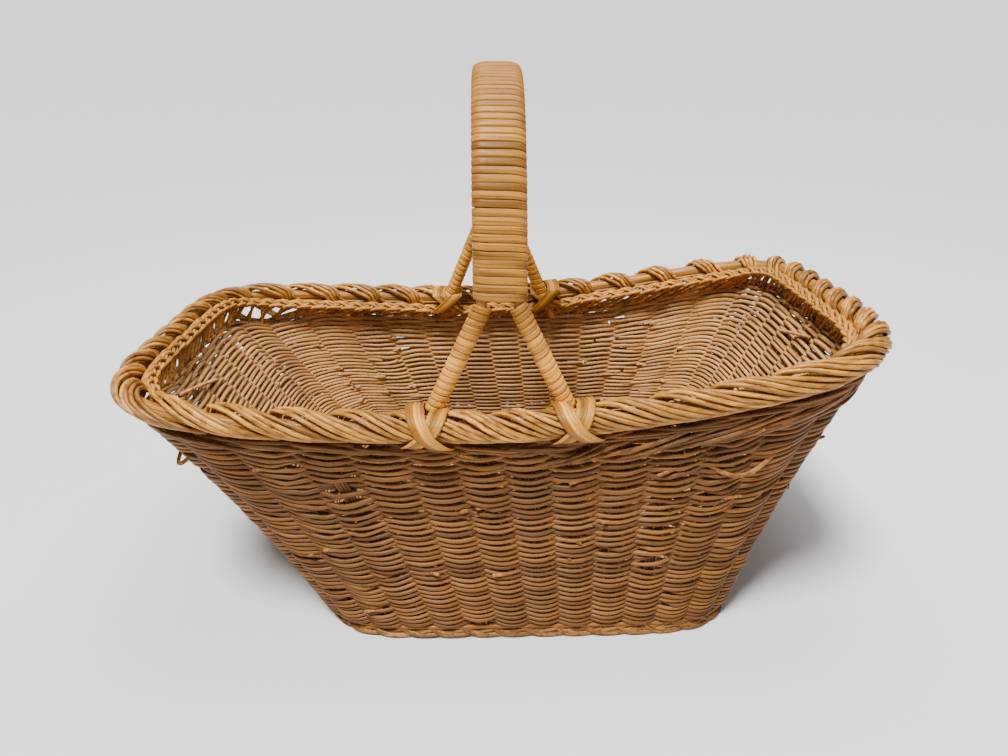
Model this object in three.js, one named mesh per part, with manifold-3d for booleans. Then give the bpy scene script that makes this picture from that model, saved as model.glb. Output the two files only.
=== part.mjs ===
// Wicker market basket of round reed, with a rolled border and a fixed handle wound with flat cane.
// Millimetres, +Z up. +X runs along the length, towards the higher end. -Y is the front.
// The origin is at the floor, under the middle of the rim.
import * as THREE from 'three';
import { mergeVertices } from 'three/addons/utils/BufferGeometryUtils.js';
import Module from 'manifold-3d';

const wasm = await Module();
wasm.setup();

// Overall shape
const rimHalfLength = 243;
const rimHalfWidth = 133.5;
const rimHeight = 158;
const leftRise = 11;
const rightRise = 39;
const frontRise = 5;
const baseHalfLength = 141;
const baseHalfWidth = 128;
const baseShift = 20;
const sideHollow = 5;
const rimSquareness = 5;
const baseSquareness = 6.4;
const leftRisePower = 2;
const rightRisePower = 1.4;
const endStakesShare = 0.42;
const rimGatherShare = 0.2;
const baseGatherShare = 0;
const stakeCount = 43;
const clearance = 0.3;

// Woven wall
const wallThickness = 5.2;
const weaveRelief = 1.3;
const bandHeightMiddle = 18;
const bandHeightEnds = 27;
const stakeWidth = 6.5;
const stakeThickness = 2.2;
const stakeLeanShare = 0.3;
const weaveSplitShare = 0.55;
const waleRadius = 2.2;
const weaveRows = 3;
const liningRows = 2;
const weaveSeam = 0.6;

// Base
const footRadius = 4.5;
const footScallop = 0.5;
const matUnderside = 3.3;
const matThickness = 2.4;
const matRelief = 2.7;
const stickWidth = 7;
const stickCount = 5;
const stickSpacing = 42;
const stickEndRadius = 1.6;

// Border
const coreRadius = 5;
const rollThickness = 3.4;
const rollWidth = 14;
const rollSteps = 8;
const braidRadius = 4;
const braidTuck = 6.9;
const braidEase = 22;
const rollClearance = 0.6;

// Handle
const handleHeight = 358;
const archPower = 2.5;
const rodRadius = 3.5;
const rodPitch = 7.2;
const rodCount = 4;
const forkHeight = 72.5;
const legSpread = 44;
const footDepth = 15;
const caneThickness = 1;
const caneGap = 0.6;
const bowClearance = 0.45;
const bowTurns = 56;
const legTurns = 8;
const bowSteps = 8;
const legSteps = 6;
const lashWidth = 6;
const lashThickness = 1.3;
const lashSwing = 14.5;
const lashTopSwing = 8;
const lashFootSwing = 11.5;
const lashHold = 8;
const lashLayers = 2;

// Fineness of the curves
const slopeStep = 0.002;
const archStep = 0.001;
const legSections = 5;
const bowSections = 34;
const rodSides = 8;

// Sizes that follow from the ones above
const rollInner = (coreRadius + rollClearance) / Math.cos(Math.PI / rollSteps);
const rollOuter = rollInner + rollThickness;
const legOffset = rollOuter + clearance + rodRadius;
const archHalfSpan = rimHalfWidth - legOffset;
const legWrapInner = (rodRadius + clearance) / Math.cos(Math.PI / legSteps);
const legWrapOuter = legWrapInner + caneThickness;
const archRise = handleHeight - rimHeight - rodRadius - bowClearance - caneThickness;
const braidGap = rollOuter + braidRadius + clearance;
const braidOffset = Math.sqrt(braidGap * braidGap - braidTuck * braidTuck);
const footHeight = 2 * footRadius * Math.sin(Math.PI / 3);
const lashReach = legOffset + rodRadius;
const lashStack = lashLayers * (lashThickness + clearance);
const braidAtLeg = lashReach + lashStack + clearance + braidRadius;

const colours = { reed: 0xb5803f, cane: 0xc8924c, inside: 0xa9744a, edge: 0xc09050, rod: 0x9a6a38 };

// Helpers

const signedPower = (value, power) => Math.sign(value) * Math.abs(value) ** power;

class PlanCurve extends THREE.Curve {
  constructor(halfLength, halfWidth, squareness, shift, gather) {
    super();
    Object.assign(this, { halfLength, halfWidth, squareness, shift, gather });
    this.arcLengthDivisions = 1600;
  }

  getPoint(t, target = new THREE.Vector3()) {
    const angle = 2 * Math.PI * t;
    const x = this.halfLength * signedPower(Math.cos(angle), 2 / this.squareness);
    const y = this.halfWidth * signedPower(Math.sin(angle), 2 / this.squareness);
    return target.set(x + this.shift, y, 0);
  }

  // A turn share from 0 to 1 puts the same number of stakes on each end as on the real basket,
  // and gathers those of the long sides towards the middle.
  atShare(turn) {
    const wrapped = ((turn % 1) + 1) % 1;
    const quarter = Math.floor(wrapped * 4);
    const inQuarter = wrapped * 4 - quarter;
    const mirrored = quarter % 2 === 1 ? 1 - inQuarter : inQuarter;
    const corner = this.halfWidth / (this.halfWidth + this.halfLength);
    const onSide = Math.max((mirrored - endStakesShare) / (1 - endStakesShare), 0);
    const gathered = onSide + this.gather * onSide * (1 - onSide);
    const along = mirrored < endStakesShare
      ? corner * mirrored / endStakesShare
      : corner + (1 - corner) * gathered;
    const placed = quarter % 2 === 1 ? 1 - along : along;
    return this.getPointAt((quarter + placed) / 4);
  }
}

const rimPlan = new PlanCurve(rimHalfLength, rimHalfWidth, rimSquareness, 0, rimGatherShare);
const basePlan = new PlanCurve(baseHalfLength, baseHalfWidth, baseSquareness, baseShift, baseGatherShare);

function rimPoint(turn) {
  const point = rimPlan.atShare(turn);
  const along = Math.min(Math.abs(point.x) / rimHalfLength, 1);
  const rise = point.x < 0 ? leftRise * along ** leftRisePower : rightRise * along ** rightRisePower;
  point.z = rimHeight + rise - frontRise * point.y / rimHalfWidth;
  return point;
}

// Tangent, outward and upward directions on the rim at a turn share
function rimFrame(turn) {
  const tangent = rimPoint(turn + slopeStep).sub(rimPoint(turn - slopeStep)).normalize();
  const outward = new THREE.Vector3(tangent.y, -tangent.x, 0).normalize();
  const upward = new THREE.Vector3().crossVectors(outward, tangent).normalize();
  return { point: rimPoint(turn), tangent, outward, upward };
}

function aroundRim(turn, outwardOffset, upwardOffset, alongOffset = 0) {
  const { point, tangent, outward, upward } = rimFrame(turn);
  point.addScaledVector(outward, outwardOffset).addScaledVector(upward, upwardOffset);
  return point.addScaledVector(tangent, alongOffset);
}

function wallMiddle(turn, share) {
  const { point, outward } = rimFrame(turn);
  const foot = basePlan.atShare(turn);
  const hollow = sideHollow * Math.sin(Math.PI * share);
  return foot.lerp(point, share).addScaledVector(outward, -hollow);
}

// Up the wall and square out of it, at a turn share and a share of its height
function wallFrame(turn, share) {
  const along = wallMiddle(turn + slopeStep, share).sub(wallMiddle(turn - slopeStep, share));
  const rise = wallMiddle(turn, share + slopeStep).sub(wallMiddle(turn, share - slopeStep)).normalize();
  const normal = new THREE.Vector3().crossVectors(along, rise).normalize();
  return { rise, normal };
}

function wallPoint(turn, share, offset) {
  return wallMiddle(turn, share).addScaledVector(wallFrame(turn, share).normal, offset);
}

// One closed skin over a row of like sections, joined end to end or capped
function loft(sections, closed) {
  const sides = sections[0].length;
  const positions = sections.flat().flatMap((point) => [point.x, point.y, point.z]);
  const indices = [];
  const rows = closed ? sections.length : sections.length - 1;
  for (let row = 0; row < rows; row++) {
    const next = (row + 1) % sections.length;
    for (let side = 0; side < sides; side++) {
      const a = row * sides + side;
      const b = row * sides + (side + 1) % sides;
      const c = next * sides + (side + 1) % sides;
      const d = next * sides + side;
      indices.push(a, b, c, a, c, d);
    }
  }
  if (!closed) {
    const last = (sections.length - 1) * sides;
    for (let side = 1; side < sides - 1; side++) {
      indices.push(0, side + 1, side, last, last + side, last + side + 1);
    }
  }
  const geometry = new THREE.BufferGeometry();
  geometry.setAttribute('position', new THREE.Float32BufferAttribute(positions, 3));
  geometry.setIndex(indices);
  return facingOut(geometry);
}

function signedVolume(geometry) {
  const { position } = geometry.attributes;
  const index = geometry.index.array;
  const [a, b, c] = [new THREE.Vector3(), new THREE.Vector3(), new THREE.Vector3()];
  let total = 0;
  for (let i = 0; i < index.length; i += 3) {
    a.fromBufferAttribute(position, index[i]);
    b.fromBufferAttribute(position, index[i + 1]);
    c.fromBufferAttribute(position, index[i + 2]);
    total += a.dot(b.cross(c)) / 6;
  }
  return total;
}

function facingOut(geometry) {
  if (signedVolume(geometry) < 0) {
    geometry.index.array.reverse();
  }
  geometry.computeVertexNormals();
  return geometry;
}

function toSolid(geometry) {
  const bare = geometry.clone();
  bare.deleteAttribute('normal');
  bare.deleteAttribute('uv');
  const merged = mergeVertices(bare);
  return new wasm.Manifold(new wasm.Mesh({
    numProp: 3,
    vertProperties: new Float32Array(merged.attributes.position.array),
    triVerts: new Uint32Array(merged.index.array),
  }));
}

function toGeometry(solid) {
  const mesh = solid.getMesh();
  const geometry = new THREE.BufferGeometry();
  geometry.setAttribute('position', new THREE.BufferAttribute(mesh.vertProperties, 3));
  geometry.setIndex(new THREE.BufferAttribute(mesh.triVerts, 1));
  geometry.computeVertexNormals();
  return geometry;
}

function ringAlongRim(pointAt, steps) {
  return loft(Array.from({ length: steps }, (_, i) => pointAt(i / steps)), true);
}

// A closed tube that follows the rim, its centre moved outward and upward
function rimTube(radius, sides, steps, offsets) {
  return ringAlongRim((turn) => {
    const [outwardOffset, upwardOffset] = offsets(turn);
    return Array.from({ length: sides }, (_, side) => {
      const angle = 2 * Math.PI * side / sides;
      const [out, up] = [radius * Math.cos(angle), radius * Math.sin(angle)];
      return aroundRim(turn, outwardOffset + out, upwardOffset + up);
    });
  }, steps);
}

// Least distance from each turn of a strip to the next, measured on its corner points
function leastTurnGap(sections, stepsPerTurn) {
  let least = Infinity;
  for (let i = 0; i + stepsPerTurn < sections.length; i++) {
    const here = sections[i];
    const next = sections[i + stepsPerTurn];
    const gaps = here.flatMap((point) => next.map((other) => point.distanceTo(other)));
    least = Math.min(least, ...gaps);
  }
  return least;
}

// Whether a place on the rim lies under a lashing, with a margin
function nearLeg(point, margin) {
  const reach = lashSwing + lashWidth / 2 + clearance + margin;
  return Math.abs(point.y) > rimHalfWidth / 2 && Math.abs(Math.abs(point.x) - legSpread) < reach;
}

// Woven wall: it swells on both faces where the weavers bend round a stake.

const relief = (column) => column % 2 === 0 ? weaveRelief : -weaveRelief;

// The shares of the wall's height between which it is woven: it stands on the foot border.
function wallShares(turn) {
  const height = rimPoint(turn).z;
  const { normal } = wallFrame(turn, footHeight / height);
  const drop = (wallThickness / 2 + weaveRelief) * Math.abs(normal.z);
  const towardsEnd = (rimPoint(turn).x / rimHalfLength) ** 2;
  const band = THREE.MathUtils.lerp(bandHeightMiddle, bandHeightEnds, towardsEnd);
  return { foot: (footHeight + clearance + drop) / height, top: 1 - band / height };
}

// The weave between two shares of the woven height
function weaveBand(low, high) {
  const columns = 2 * stakeCount;
  const sections = [];
  for (let column = 0; column < columns; column++) {
    const turn = (column / 2 - stakeLeanShare) / stakeCount;
    const { foot, top } = wallShares(turn);
    const shareAt = (part) => foot + (top - foot) * (low + (high - low) * part);
    const swell = wallThickness / 2 + relief(column);
    const section = [];
    for (let row = 0; row < weaveRows; row++) {
      section.push(wallPoint(turn, shareAt(row / (weaveRows - 1)), swell));
    }
    for (let row = liningRows - 1; row >= 0; row--) {
      section.push(wallPoint(turn, shareAt(row / (liningRows - 1)), -swell));
    }
    sections.push(section);
  }
  return loft(sections, true);
}

// A stake where it leaves the weave and leans along the border
function stakeSolid(index) {
  const turn = index / stakeCount;
  const rootTurn = turn - stakeLeanShare / stakeCount;
  const { top } = wallShares(rootTurn);
  const { normal } = wallFrame(turn, top);
  const { tangent } = rimFrame(turn);
  const rise = new THREE.Vector3().crossVectors(normal, tangent).normalize();
  const root = wallMiddle(rootTurn, top).addScaledVector(rise, -stakeThickness);
  const headroom = nearLeg(rimPoint(turn), stakeWidth / 2) ? lashStack + rollClearance : 0;
  const tip = rimPoint(turn).addScaledVector(rise, -(rollOuter + clearance + headroom));
  const corners = [[-1, -1], [1, -1], [1, 1], [-1, 1]];
  const section = (centre) => corners.map(([along, across]) => centre.clone()
    .addScaledVector(tangent, along * stakeWidth / 2)
    .addScaledVector(normal, across * stakeThickness / 2));
  return toSolid(loft([section(root), section(tip)], false));
}

// The stakes come out of the upper weave, so they are one piece with it.
function upperWeave() {
  const band = toSolid(weaveBand(weaveSplitShare + weaveSeam / rimHeight, 1));
  const stakes = Array.from({ length: stakeCount }, (_, index) => stakeSolid(index));
  return toGeometry(wasm.Manifold.union([band, ...stakes]));
}

function topWale() {
  const steps = 2 * stakeCount;
  const sides = 5;
  return ringAlongRim((turn) => {
    const { top } = wallShares(turn);
    const { rise, normal } = wallFrame(turn, top);
    const offset = wallThickness / 2 + weaveRelief + clearance + waleRadius;
    const centre = wallPoint(turn, top, offset);
    return Array.from({ length: sides }, (_, side) => {
      const angle = 2 * Math.PI * side / sides;
      return centre.clone().addScaledVector(normal, waleRadius * Math.cos(angle))
        .addScaledVector(rise, waleRadius * Math.sin(angle));
    });
  }, steps);
}

// Base: foot border, woven mat and the sticks that it is woven on

function footBorder() {
  const columns = 2 * stakeCount;
  const sides = 6;
  const sections = Array.from({ length: columns }, (_, column) => {
    const turn = column / columns;
    const centre = basePlan.atShare(turn);
    const { outward } = rimFrame(turn);
    return Array.from({ length: sides }, (__, side) => {
      const angle = 2 * Math.PI * side / sides;
      const bulge = column % 2 === 0 && side === 0 ? footScallop : 0;
      const point = centre.clone().addScaledVector(outward, footRadius * Math.cos(angle) + bulge);
      point.z = footHeight / 2 + footRadius * Math.sin(angle);
      return point;
    });
  });
  return loft(sections, true);
}

// A flat plate inside the foot border, its edge the same distance from the border all round
function plateGeometry(inset, thickness, points) {
  const outline = Array.from({ length: points }, (_, i) => {
    const turn = i / points;
    const { outward } = rimFrame(turn);
    const point = basePlan.atShare(turn).addScaledVector(outward, -inset);
    return new THREE.Vector2(point.x, point.y);
  });
  return new THREE.ExtrudeGeometry(new THREE.Shape(outline), { depth: thickness, bevelEnabled: false });
}

// The hollow in the mat between two sticks, cut right along it
function matValley(place) {
  const half = (stickSpacing - stickWidth) / 2;
  const [bottom, top] = [matUnderside + matThickness, matUnderside + matThickness + matRelief];
  const slope = matRelief / half;
  const shape = new THREE.Shape();
  shape.moveTo(place, bottom);
  shape.lineTo(place + half + clearance / slope, top + clearance);
  shape.lineTo(place - half - clearance / slope, top + clearance);
  const options = { depth: baseHalfLength + baseHalfLength, bevelEnabled: false };
  const valley = new THREE.ExtrudeGeometry(shape, options);
  valley.rotateX(Math.PI / 2).rotateZ(Math.PI / 2);
  return valley.translate(baseShift - baseHalfLength, 0, 0);
}

// The mat's strands rise over each stick and dip between the sticks.
function baseMat() {
  const inset = footRadius + clearance;
  const plate = plateGeometry(inset, matThickness + matRelief, 2 * stakeCount);
  let solid = toSolid(plate.translate(0, 0, matUnderside));
  for (let index = 0; index <= stickCount; index++) {
    solid = solid.subtract(toSolid(matValley(stickPlace(index - 0.5))));
  }
  return toGeometry(solid);
}

const stickPlace = (index) => (index - (stickCount - 1) / 2) * stickSpacing;

function baseStick(index) {
  const place = stickPlace(index);
  const depth = matUnderside - clearance;
  const widthShare = (Math.abs(place) / baseHalfWidth) ** baseSquareness;
  const reach = baseHalfLength * (1 - widthShare) ** (1 / baseSquareness);
  const end = reach - footRadius - clearance - stickEndRadius;
  const half = stickWidth / 2;
  const shape = new THREE.Shape();
  shape.moveTo(-half + stickEndRadius, 0);
  shape.lineTo(half - stickEndRadius, 0);
  shape.absarc(half - stickEndRadius, stickEndRadius, stickEndRadius, -Math.PI / 2, 0);
  shape.lineTo(half, depth);
  shape.lineTo(-half, depth);
  shape.absarc(-half + stickEndRadius, stickEndRadius, stickEndRadius, Math.PI, 1.5 * Math.PI);
  const options = { depth: 2 * end, bevelEnabled: false, curveSegments: 3 };
  const stick = new THREE.ExtrudeGeometry(shape, options);
  stick.rotateX(Math.PI / 2).rotateZ(Math.PI / 2);
  return stick.translate(baseShift - end, place, 0);
}

// Rolled border: a core, the reeds rolled over it in one long screw, and the braid inside it

function borderCore() {
  return rimTube(coreRadius, 5, 3 * stakeCount, () => [0, 0]);
}

function borderRoll() {
  const steps = stakeCount * rollSteps;
  const start = -Math.PI / 2;
  const sections = Array.from({ length: steps }, (_, i) => {
    const turn = i / steps;
    const angle = start - 2 * Math.PI * i / rollSteps;
    const [across, up] = [Math.cos(angle), Math.sin(angle)];
    const corner = (radius, along) => aroundRim(turn, radius * across, radius * up, along);
    return [
      corner(rollInner, -rollWidth / 2),
      corner(rollInner, rollWidth / 2),
      corner(rollOuter, rollWidth / 2),
      corner(rollOuter, -rollWidth / 2),
    ];
  });
  console.log('border roll, least gap between turns:', leastTurnGap(sections, rollSteps).toFixed(2));
  return loft(sections, true);
}

// How far the braid bends inward to pass a leg, from 0 to 1
function braidBend(turn) {
  const { x } = rimPoint(turn);
  const flat = lashSwing + lashWidth / 2 + braidRadius;
  const onSide = Math.abs(rimPoint(turn).y) > rimHalfWidth / 2;
  const away = Math.abs(Math.abs(x) - legSpread) - flat;
  const share = THREE.MathUtils.clamp(1 - away / braidEase, 0, 1);
  return onSide ? THREE.MathUtils.smoothstep(share, 0, 1) : 0;
}

// The braid lies on the inner side of the border, square to the lean of the wall.
function innerBraid() {
  return rimTube(braidRadius, 6, 3 * stakeCount, (turn) => {
    const inward = THREE.MathUtils.lerp(braidOffset, braidAtLeg, braidBend(turn));
    const { outward, upward } = rimFrame(turn);
    const { rise } = wallFrame(turn, wallShares(turn).top);
    const lean = Math.atan2(rise.dot(outward), rise.dot(upward));
    return [
      -inward * Math.cos(lean) - braidTuck * Math.sin(lean),
      inward * Math.sin(lean) - braidTuck * Math.cos(lean),
    ];
  });
}

// Handle: the arch lies in one curved sheet, and the rods spread in it below the fork.

const archTop = rimHeight + archRise;
const forkLevel = rimHeight + frontRise + forkHeight;

class ArchCurve extends THREE.Curve {
  getPoint(t, target = new THREE.Vector3()) {
    const angle = Math.PI * t;
    const y = -archHalfSpan * signedPower(Math.cos(angle), 2 / archPower);
    const z = rimHeight + archRise * Math.sin(angle) ** (2 / archPower);
    return target.set(0, y, z);
  }
}

const arch = new ArchCurve();
arch.arcLengthDivisions = 800;
const archLength = arch.getLength();

// Arch length from its start up to a height
function lengthToHeight(height) {
  let [low, high] = [0, 0.5];
  for (let i = 0; i < 40; i++) {
    const middle = (low + high) / 2;
    [low, high] = arch.getPointAt(middle).z < height ? [middle, high] : [low, middle];
  }
  return low * archLength;
}

// A point at a length along the arch, which runs straight down beyond both of its ends
function archPoint(length, sideways, above) {
  const along = THREE.MathUtils.clamp(length / archLength, 0, 1);
  const before = arch.getPointAt(Math.max(along - archStep, 0));
  const after = arch.getPointAt(Math.min(along + archStep, 1));
  const tangent = after.sub(before).normalize();
  const normal = new THREE.Vector3(0, -tangent.z, tangent.y);
  const point = arch.getPointAt(along).addScaledVector(tangent, length - along * archLength);
  point.addScaledVector(normal, above);
  point.x += sideways;
  return point;
}

const forkLength = lengthToHeight(forkLevel);
const footLevels = { front: rimHeight + frontRise, back: rimHeight - frontRise };
const rodPlace = (rodCount - 1) / 2 * rodPitch;
const borderLevel = (side) => side === 'front' ? footLevels.front : footLevels.back;
const footLength = (side) => borderLevel(side) - footDepth - rimHeight;
const spreadStart = forkLength - rodRadius;
const spreadRates = {
  front: (legSpread - rodPlace) / (spreadStart - frontRise),
  back: (legSpread - rodPlace) / (spreadStart + frontRise),
};

// Sideways place of an outer rod at a length from the given end of the arch
const spreadAt = (length, end) => rodPlace + spreadRates[end] * Math.max(spreadStart - length, 0);

function rodSideways(length) {
  return length < archLength / 2 ? spreadAt(length, 'front') : spreadAt(archLength - length, 'back');
}

class RodCurve extends THREE.Curve {
  constructor(from, to, sideways) {
    super();
    Object.assign(this, { from, to, sideways });
  }

  getPoint(t, target = new THREE.Vector3()) {
    const length = this.from + (this.to - this.from) * t;
    return target.copy(archPoint(length, this.sideways(length), 0));
  }

  // Point and section directions at a share of the curve
  frameAt(t) {
    const tangent = this.getTangent(t);
    const across = new THREE.Vector3(1, 0, 0).addScaledVector(tangent, -tangent.x).normalize();
    const normal = new THREE.Vector3().crossVectors(tangent, across);
    return { point: this.getPoint(t), across, normal };
  }
}

function circleSection({ point, across, normal }, radius, sides) {
  return Array.from({ length: sides }, (_, side) => {
    const angle = 2 * Math.PI * (side + 0.5) / sides;
    return point.clone().addScaledVector(across, radius * Math.cos(angle))
      .addScaledVector(normal, radius * Math.sin(angle));
  });
}

// Lengths from one place to another in even steps, without the last
function evenLengths(from, to, steps) {
  return Array.from({ length: steps }, (_, i) => from + (to - from) * i / steps);
}

// A rod's sections fall on the forks, where it turns from the bow into a leg.
function outerRod(side) {
  const from = footLength('front');
  const to = archLength - footLength('back');
  const curve = new RodCurve(from, to, (length) => side * rodSideways(length));
  const lengths = [
    ...evenLengths(from, spreadStart, legSections),
    ...evenLengths(spreadStart, archLength - spreadStart, bowSections),
    ...evenLengths(archLength - spreadStart, to, legSections),
    to,
  ];
  const frames = lengths.map((length) => curve.frameAt((length - from) / (to - from)));
  const sections = frames.map((frame) => circleSection(frame, rodRadius, rodSides));
  return loft(sections, false);
}

function fillerRod(side) {
  const inset = forkLength + caneThickness;
  const path = new RodCurve(inset, archLength - inset, () => side * rodPitch / 2);
  const outline = new THREE.Shape().absarc(0, 0, rodRadius, 0, 2 * Math.PI);
  const options = { steps: bowSections, curveSegments: rodSides / 2, extrudePath: path, bevelEnabled: false };
  return new THREE.ExtrudeGeometry(outline, options);
}

// Corners of the flat octagon that the cane follows round the four rods
function bowCorner(step, layer) {
  const reach = rodRadius + bowClearance + layer;
  const short = reach * Math.tan(Math.PI / bowSteps);
  const corners = [
    [rodPlace + reach, short], [rodPlace + short, reach],
    [-rodPlace - short, reach], [-rodPlace - reach, short],
    [-rodPlace - reach, -short], [-rodPlace - short, -reach],
    [rodPlace + short, -reach], [rodPlace + reach, -short],
  ];
  return corners[step % bowSteps];
}

function bowWrap() {
  const wound = archLength - 2 * forkLength;
  const pitch = wound / (bowTurns + 1);
  const half = (pitch - caneGap) / 2;
  const sections = [];
  for (let step = 0; step <= bowTurns * bowSteps; step++) {
    const length = forkLength + pitch * (step / bowSteps + 0.5);
    const corner = (layer, along) => archPoint(length + along, ...bowCorner(step, layer));
    sections.push([
      corner(0, -half), corner(0, half), corner(caneThickness, half), corner(caneThickness, -half),
    ]);
  }
  console.log('bow wrap, least gap between turns:', leastTurnGap(sections, bowSteps).toFixed(2));
  return loft(sections, false);
}

// Cane wound round one leg, from under the fork down to the border
function legWrap(side, end) {
  const level = borderLevel(end);
  const rate = spreadRates[end];
  const top = spreadStart - legWrapOuter * rate;
  const bottom = level - rimHeight + rollOuter + lashStack + legWrapOuter * rate;
  const curve = new RodCurve(top, bottom, (length) => side * spreadAt(length, end));
  const wound = curve.getLength();
  const pitch = wound / (legTurns + 1);
  const half = (pitch - caneGap) / 2;
  const mirrored = end === 'back' ? -1 : 1;
  const sections = [];
  for (let step = 0; step <= legTurns * legSteps; step++) {
    const share = (step / legSteps + 0.5) / (legTurns + 1);
    const { across, normal } = curve.frameAt(share);
    const angle = 2 * Math.PI * step / legSteps;
    const corner = (radius, along) => {
      const point = curve.getPoint(share + along / wound);
      point.addScaledVector(across, radius * Math.cos(angle));
      point.addScaledVector(normal, radius * Math.sin(angle));
      point.y *= mirrored;
      return point;
    };
    sections.push([
      corner(legWrapInner, -half), corner(legWrapInner, half),
      corner(legWrapOuter, half), corner(legWrapOuter, -half),
    ]);
  }
  return { geometry: loft(sections, false), gap: leastTurnGap(sections, legSteps) };
}

// Lashing: a band of cane that crosses over the border and round the inner side of the leg

// Turn share where the border's centre has the given X, at the front or at the back
function turnAt(x, end) {
  let [low, high] = [0, 0.5];
  for (let i = 0; i < 40; i++) {
    const middle = (low + high) / 2;
    [low, high] = rimPlan.atShare(middle).x > x ? [middle, high] : [low, middle];
  }
  return end === 'back' ? low : 1 - low;
}

// Section of the lashing as seen along the border: a half circle outside, a flat hold inside
function lashOutline(layer) {
  const arcSteps = 8;
  const radius = (rollOuter + layer) / Math.cos(Math.PI / (2 * arcSteps));
  const reach = lashReach + layer;
  const hold = lashHold + layer;
  const arc = Array.from({ length: arcSteps + 1 }, (_, i) => {
    const angle = Math.PI * (i / arcSteps - 0.5);
    return [radius * Math.cos(angle), radius * Math.sin(angle)];
  });
  const inner = [1, 0.5, 0, -0.5, -1].map((share) => [-reach, hold * share]);
  const over = [-reach / 2, (radius + hold) / 2];
  return [...arc, over, ...inner, [over[0], -over[1]]];
}

function lashing(turn, layer, direction) {
  const inner = lashOutline(layer);
  const outer = lashOutline(layer + lashThickness);
  const sections = inner.map((near, i) => {
    const outside = near[1] > 0 ? lashTopSwing : lashFootSwing;
    const widest = near[0] < 0 ? lashSwing : outside;
    const swing = direction * widest * near[1] / (rollOuter + layer);
    const corner = (place, along) => aroundRim(turn, place[0], place[1], swing + along);
    const half = lashWidth / 2;
    return [corner(near, -half), corner(near, half), corner(outer[i], half), corner(outer[i], -half)];
  });
  return loft(sections, true);
}

// Scene

const basket = new THREE.Group();
basket.name = 'basket';

function addPiece(name, geometry, color, roughness) {
  const material = new THREE.MeshStandardMaterial({ color, roughness, metalness: 0 });
  const mesh = new THREE.Mesh(geometry, material);
  mesh.name = name;
  basket.add(mesh);
}

addPiece('woven_wall', weaveBand(0, weaveSplitShare), colours.reed, 0.6);
addPiece('upper_weave', upperWeave(), colours.reed, 0.6);
addPiece('top_wale', topWale(), colours.reed, 0.6);
addPiece('foot_border', footBorder(), colours.reed, 0.6);
addPiece('base_mat', baseMat(), colours.inside, 0.65);
for (let index = 0; index < stickCount; index++) {
  addPiece(`base_stick_${index + 1}`, baseStick(index), colours.rod, 0.65);
}
addPiece('border_core', borderCore(), colours.rod, 0.55);
addPiece('border_roll', borderRoll(), colours.edge, 0.5);
addPiece('inner_braid', innerBraid(), colours.edge, 0.55);
addPiece('handle_rod_left', outerRod(-1), colours.rod, 0.55);
addPiece('handle_rod_right', outerRod(1), colours.rod, 0.55);
addPiece('handle_filler_left', fillerRod(-1), colours.rod, 0.55);
addPiece('handle_filler_right', fillerRod(1), colours.rod, 0.55);
addPiece('bow_wrap', bowWrap(), colours.cane, 0.45);

for (const end of ['front', 'back']) {
  for (const [sideName, side] of [['left', -1], ['right', 1]]) {
    const wrap = legWrap(side, end);
    console.log(`leg wrap ${end} ${sideName}, least gap between turns:`, wrap.gap.toFixed(2));
    addPiece(`leg_wrap_${end}_${sideName}`, wrap.geometry, colours.cane, 0.45);
    const turn = turnAt(side * legSpread, end);
    addPiece(`lashing_${end}_${sideName}_under`, lashing(turn, clearance, 1), colours.cane, 0.45);
    const over = clearance + lashThickness + clearance;
    addPiece(`lashing_${end}_${sideName}_over`, lashing(turn, over, -1), colours.cane, 0.45);
  }
}

export default basket;
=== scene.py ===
"""Wicker market basket: reeds, rolled border and cane-wound handle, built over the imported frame."""
import math

import bmesh
import bpy
import numpy as np
from bpy.props import FloatProperty, FloatVectorProperty, IntProperty, PointerProperty
from mathutils import Matrix, Vector


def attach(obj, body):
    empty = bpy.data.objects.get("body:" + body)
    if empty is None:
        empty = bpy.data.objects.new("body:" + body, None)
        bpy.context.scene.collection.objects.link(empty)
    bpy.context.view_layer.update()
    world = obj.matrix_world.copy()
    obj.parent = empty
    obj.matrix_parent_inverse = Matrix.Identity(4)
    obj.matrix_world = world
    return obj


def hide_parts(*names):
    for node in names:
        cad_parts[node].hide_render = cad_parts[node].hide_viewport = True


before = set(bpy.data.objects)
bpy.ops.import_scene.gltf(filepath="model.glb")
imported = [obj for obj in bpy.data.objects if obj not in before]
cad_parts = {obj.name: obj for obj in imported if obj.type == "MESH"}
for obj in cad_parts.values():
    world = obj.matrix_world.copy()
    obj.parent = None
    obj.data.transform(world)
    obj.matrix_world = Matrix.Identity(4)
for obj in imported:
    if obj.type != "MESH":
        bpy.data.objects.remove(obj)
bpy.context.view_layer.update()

bl_info = {
    "name": "Wicker market basket",
    "version": (1, 0, 0),
    "blender": (4, 5, 0),
    "location": "View3D > Sidebar > Basket",
    "description": "Builds the woven wall, border, base and wound handle of a wicker basket",
    "category": "Add Mesh",
}

# Sizes shared with the part's source, in metres
RIM_HALF_LENGTH = 0.243
RIM_HALF_WIDTH = 0.1335
RIM_HEIGHT = 0.158
LEFT_RISE = 0.011
RIGHT_RISE = 0.039
FRONT_RISE = 0.005
BASE_HALF_LENGTH = 0.141
BASE_HALF_WIDTH = 0.128
BASE_SHIFT = 0.020
SIDE_HOLLOW = 0.005
RIM_SQUARENESS = 5
BASE_SQUARENESS = 6.4
LEFT_RISE_POWER = 2
RIGHT_RISE_POWER = 1.4
END_STAKES_SHARE = 0.42
RIM_GATHER = 0.2
BASE_GATHER = 0
STAKES = 43
BAND_MIDDLE = 0.0145
BAND_ENDS = 0.0165
STAKE_LEAN = 0.3
FOOT_HEIGHT = 0.0078
CORE_RADIUS = 0.005
ARCH_HALF_SPAN = 0.12024
ARCH_RISE = 0.19505
ARCH_POWER = 2.5
ROD_RADIUS = 0.0035
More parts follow.
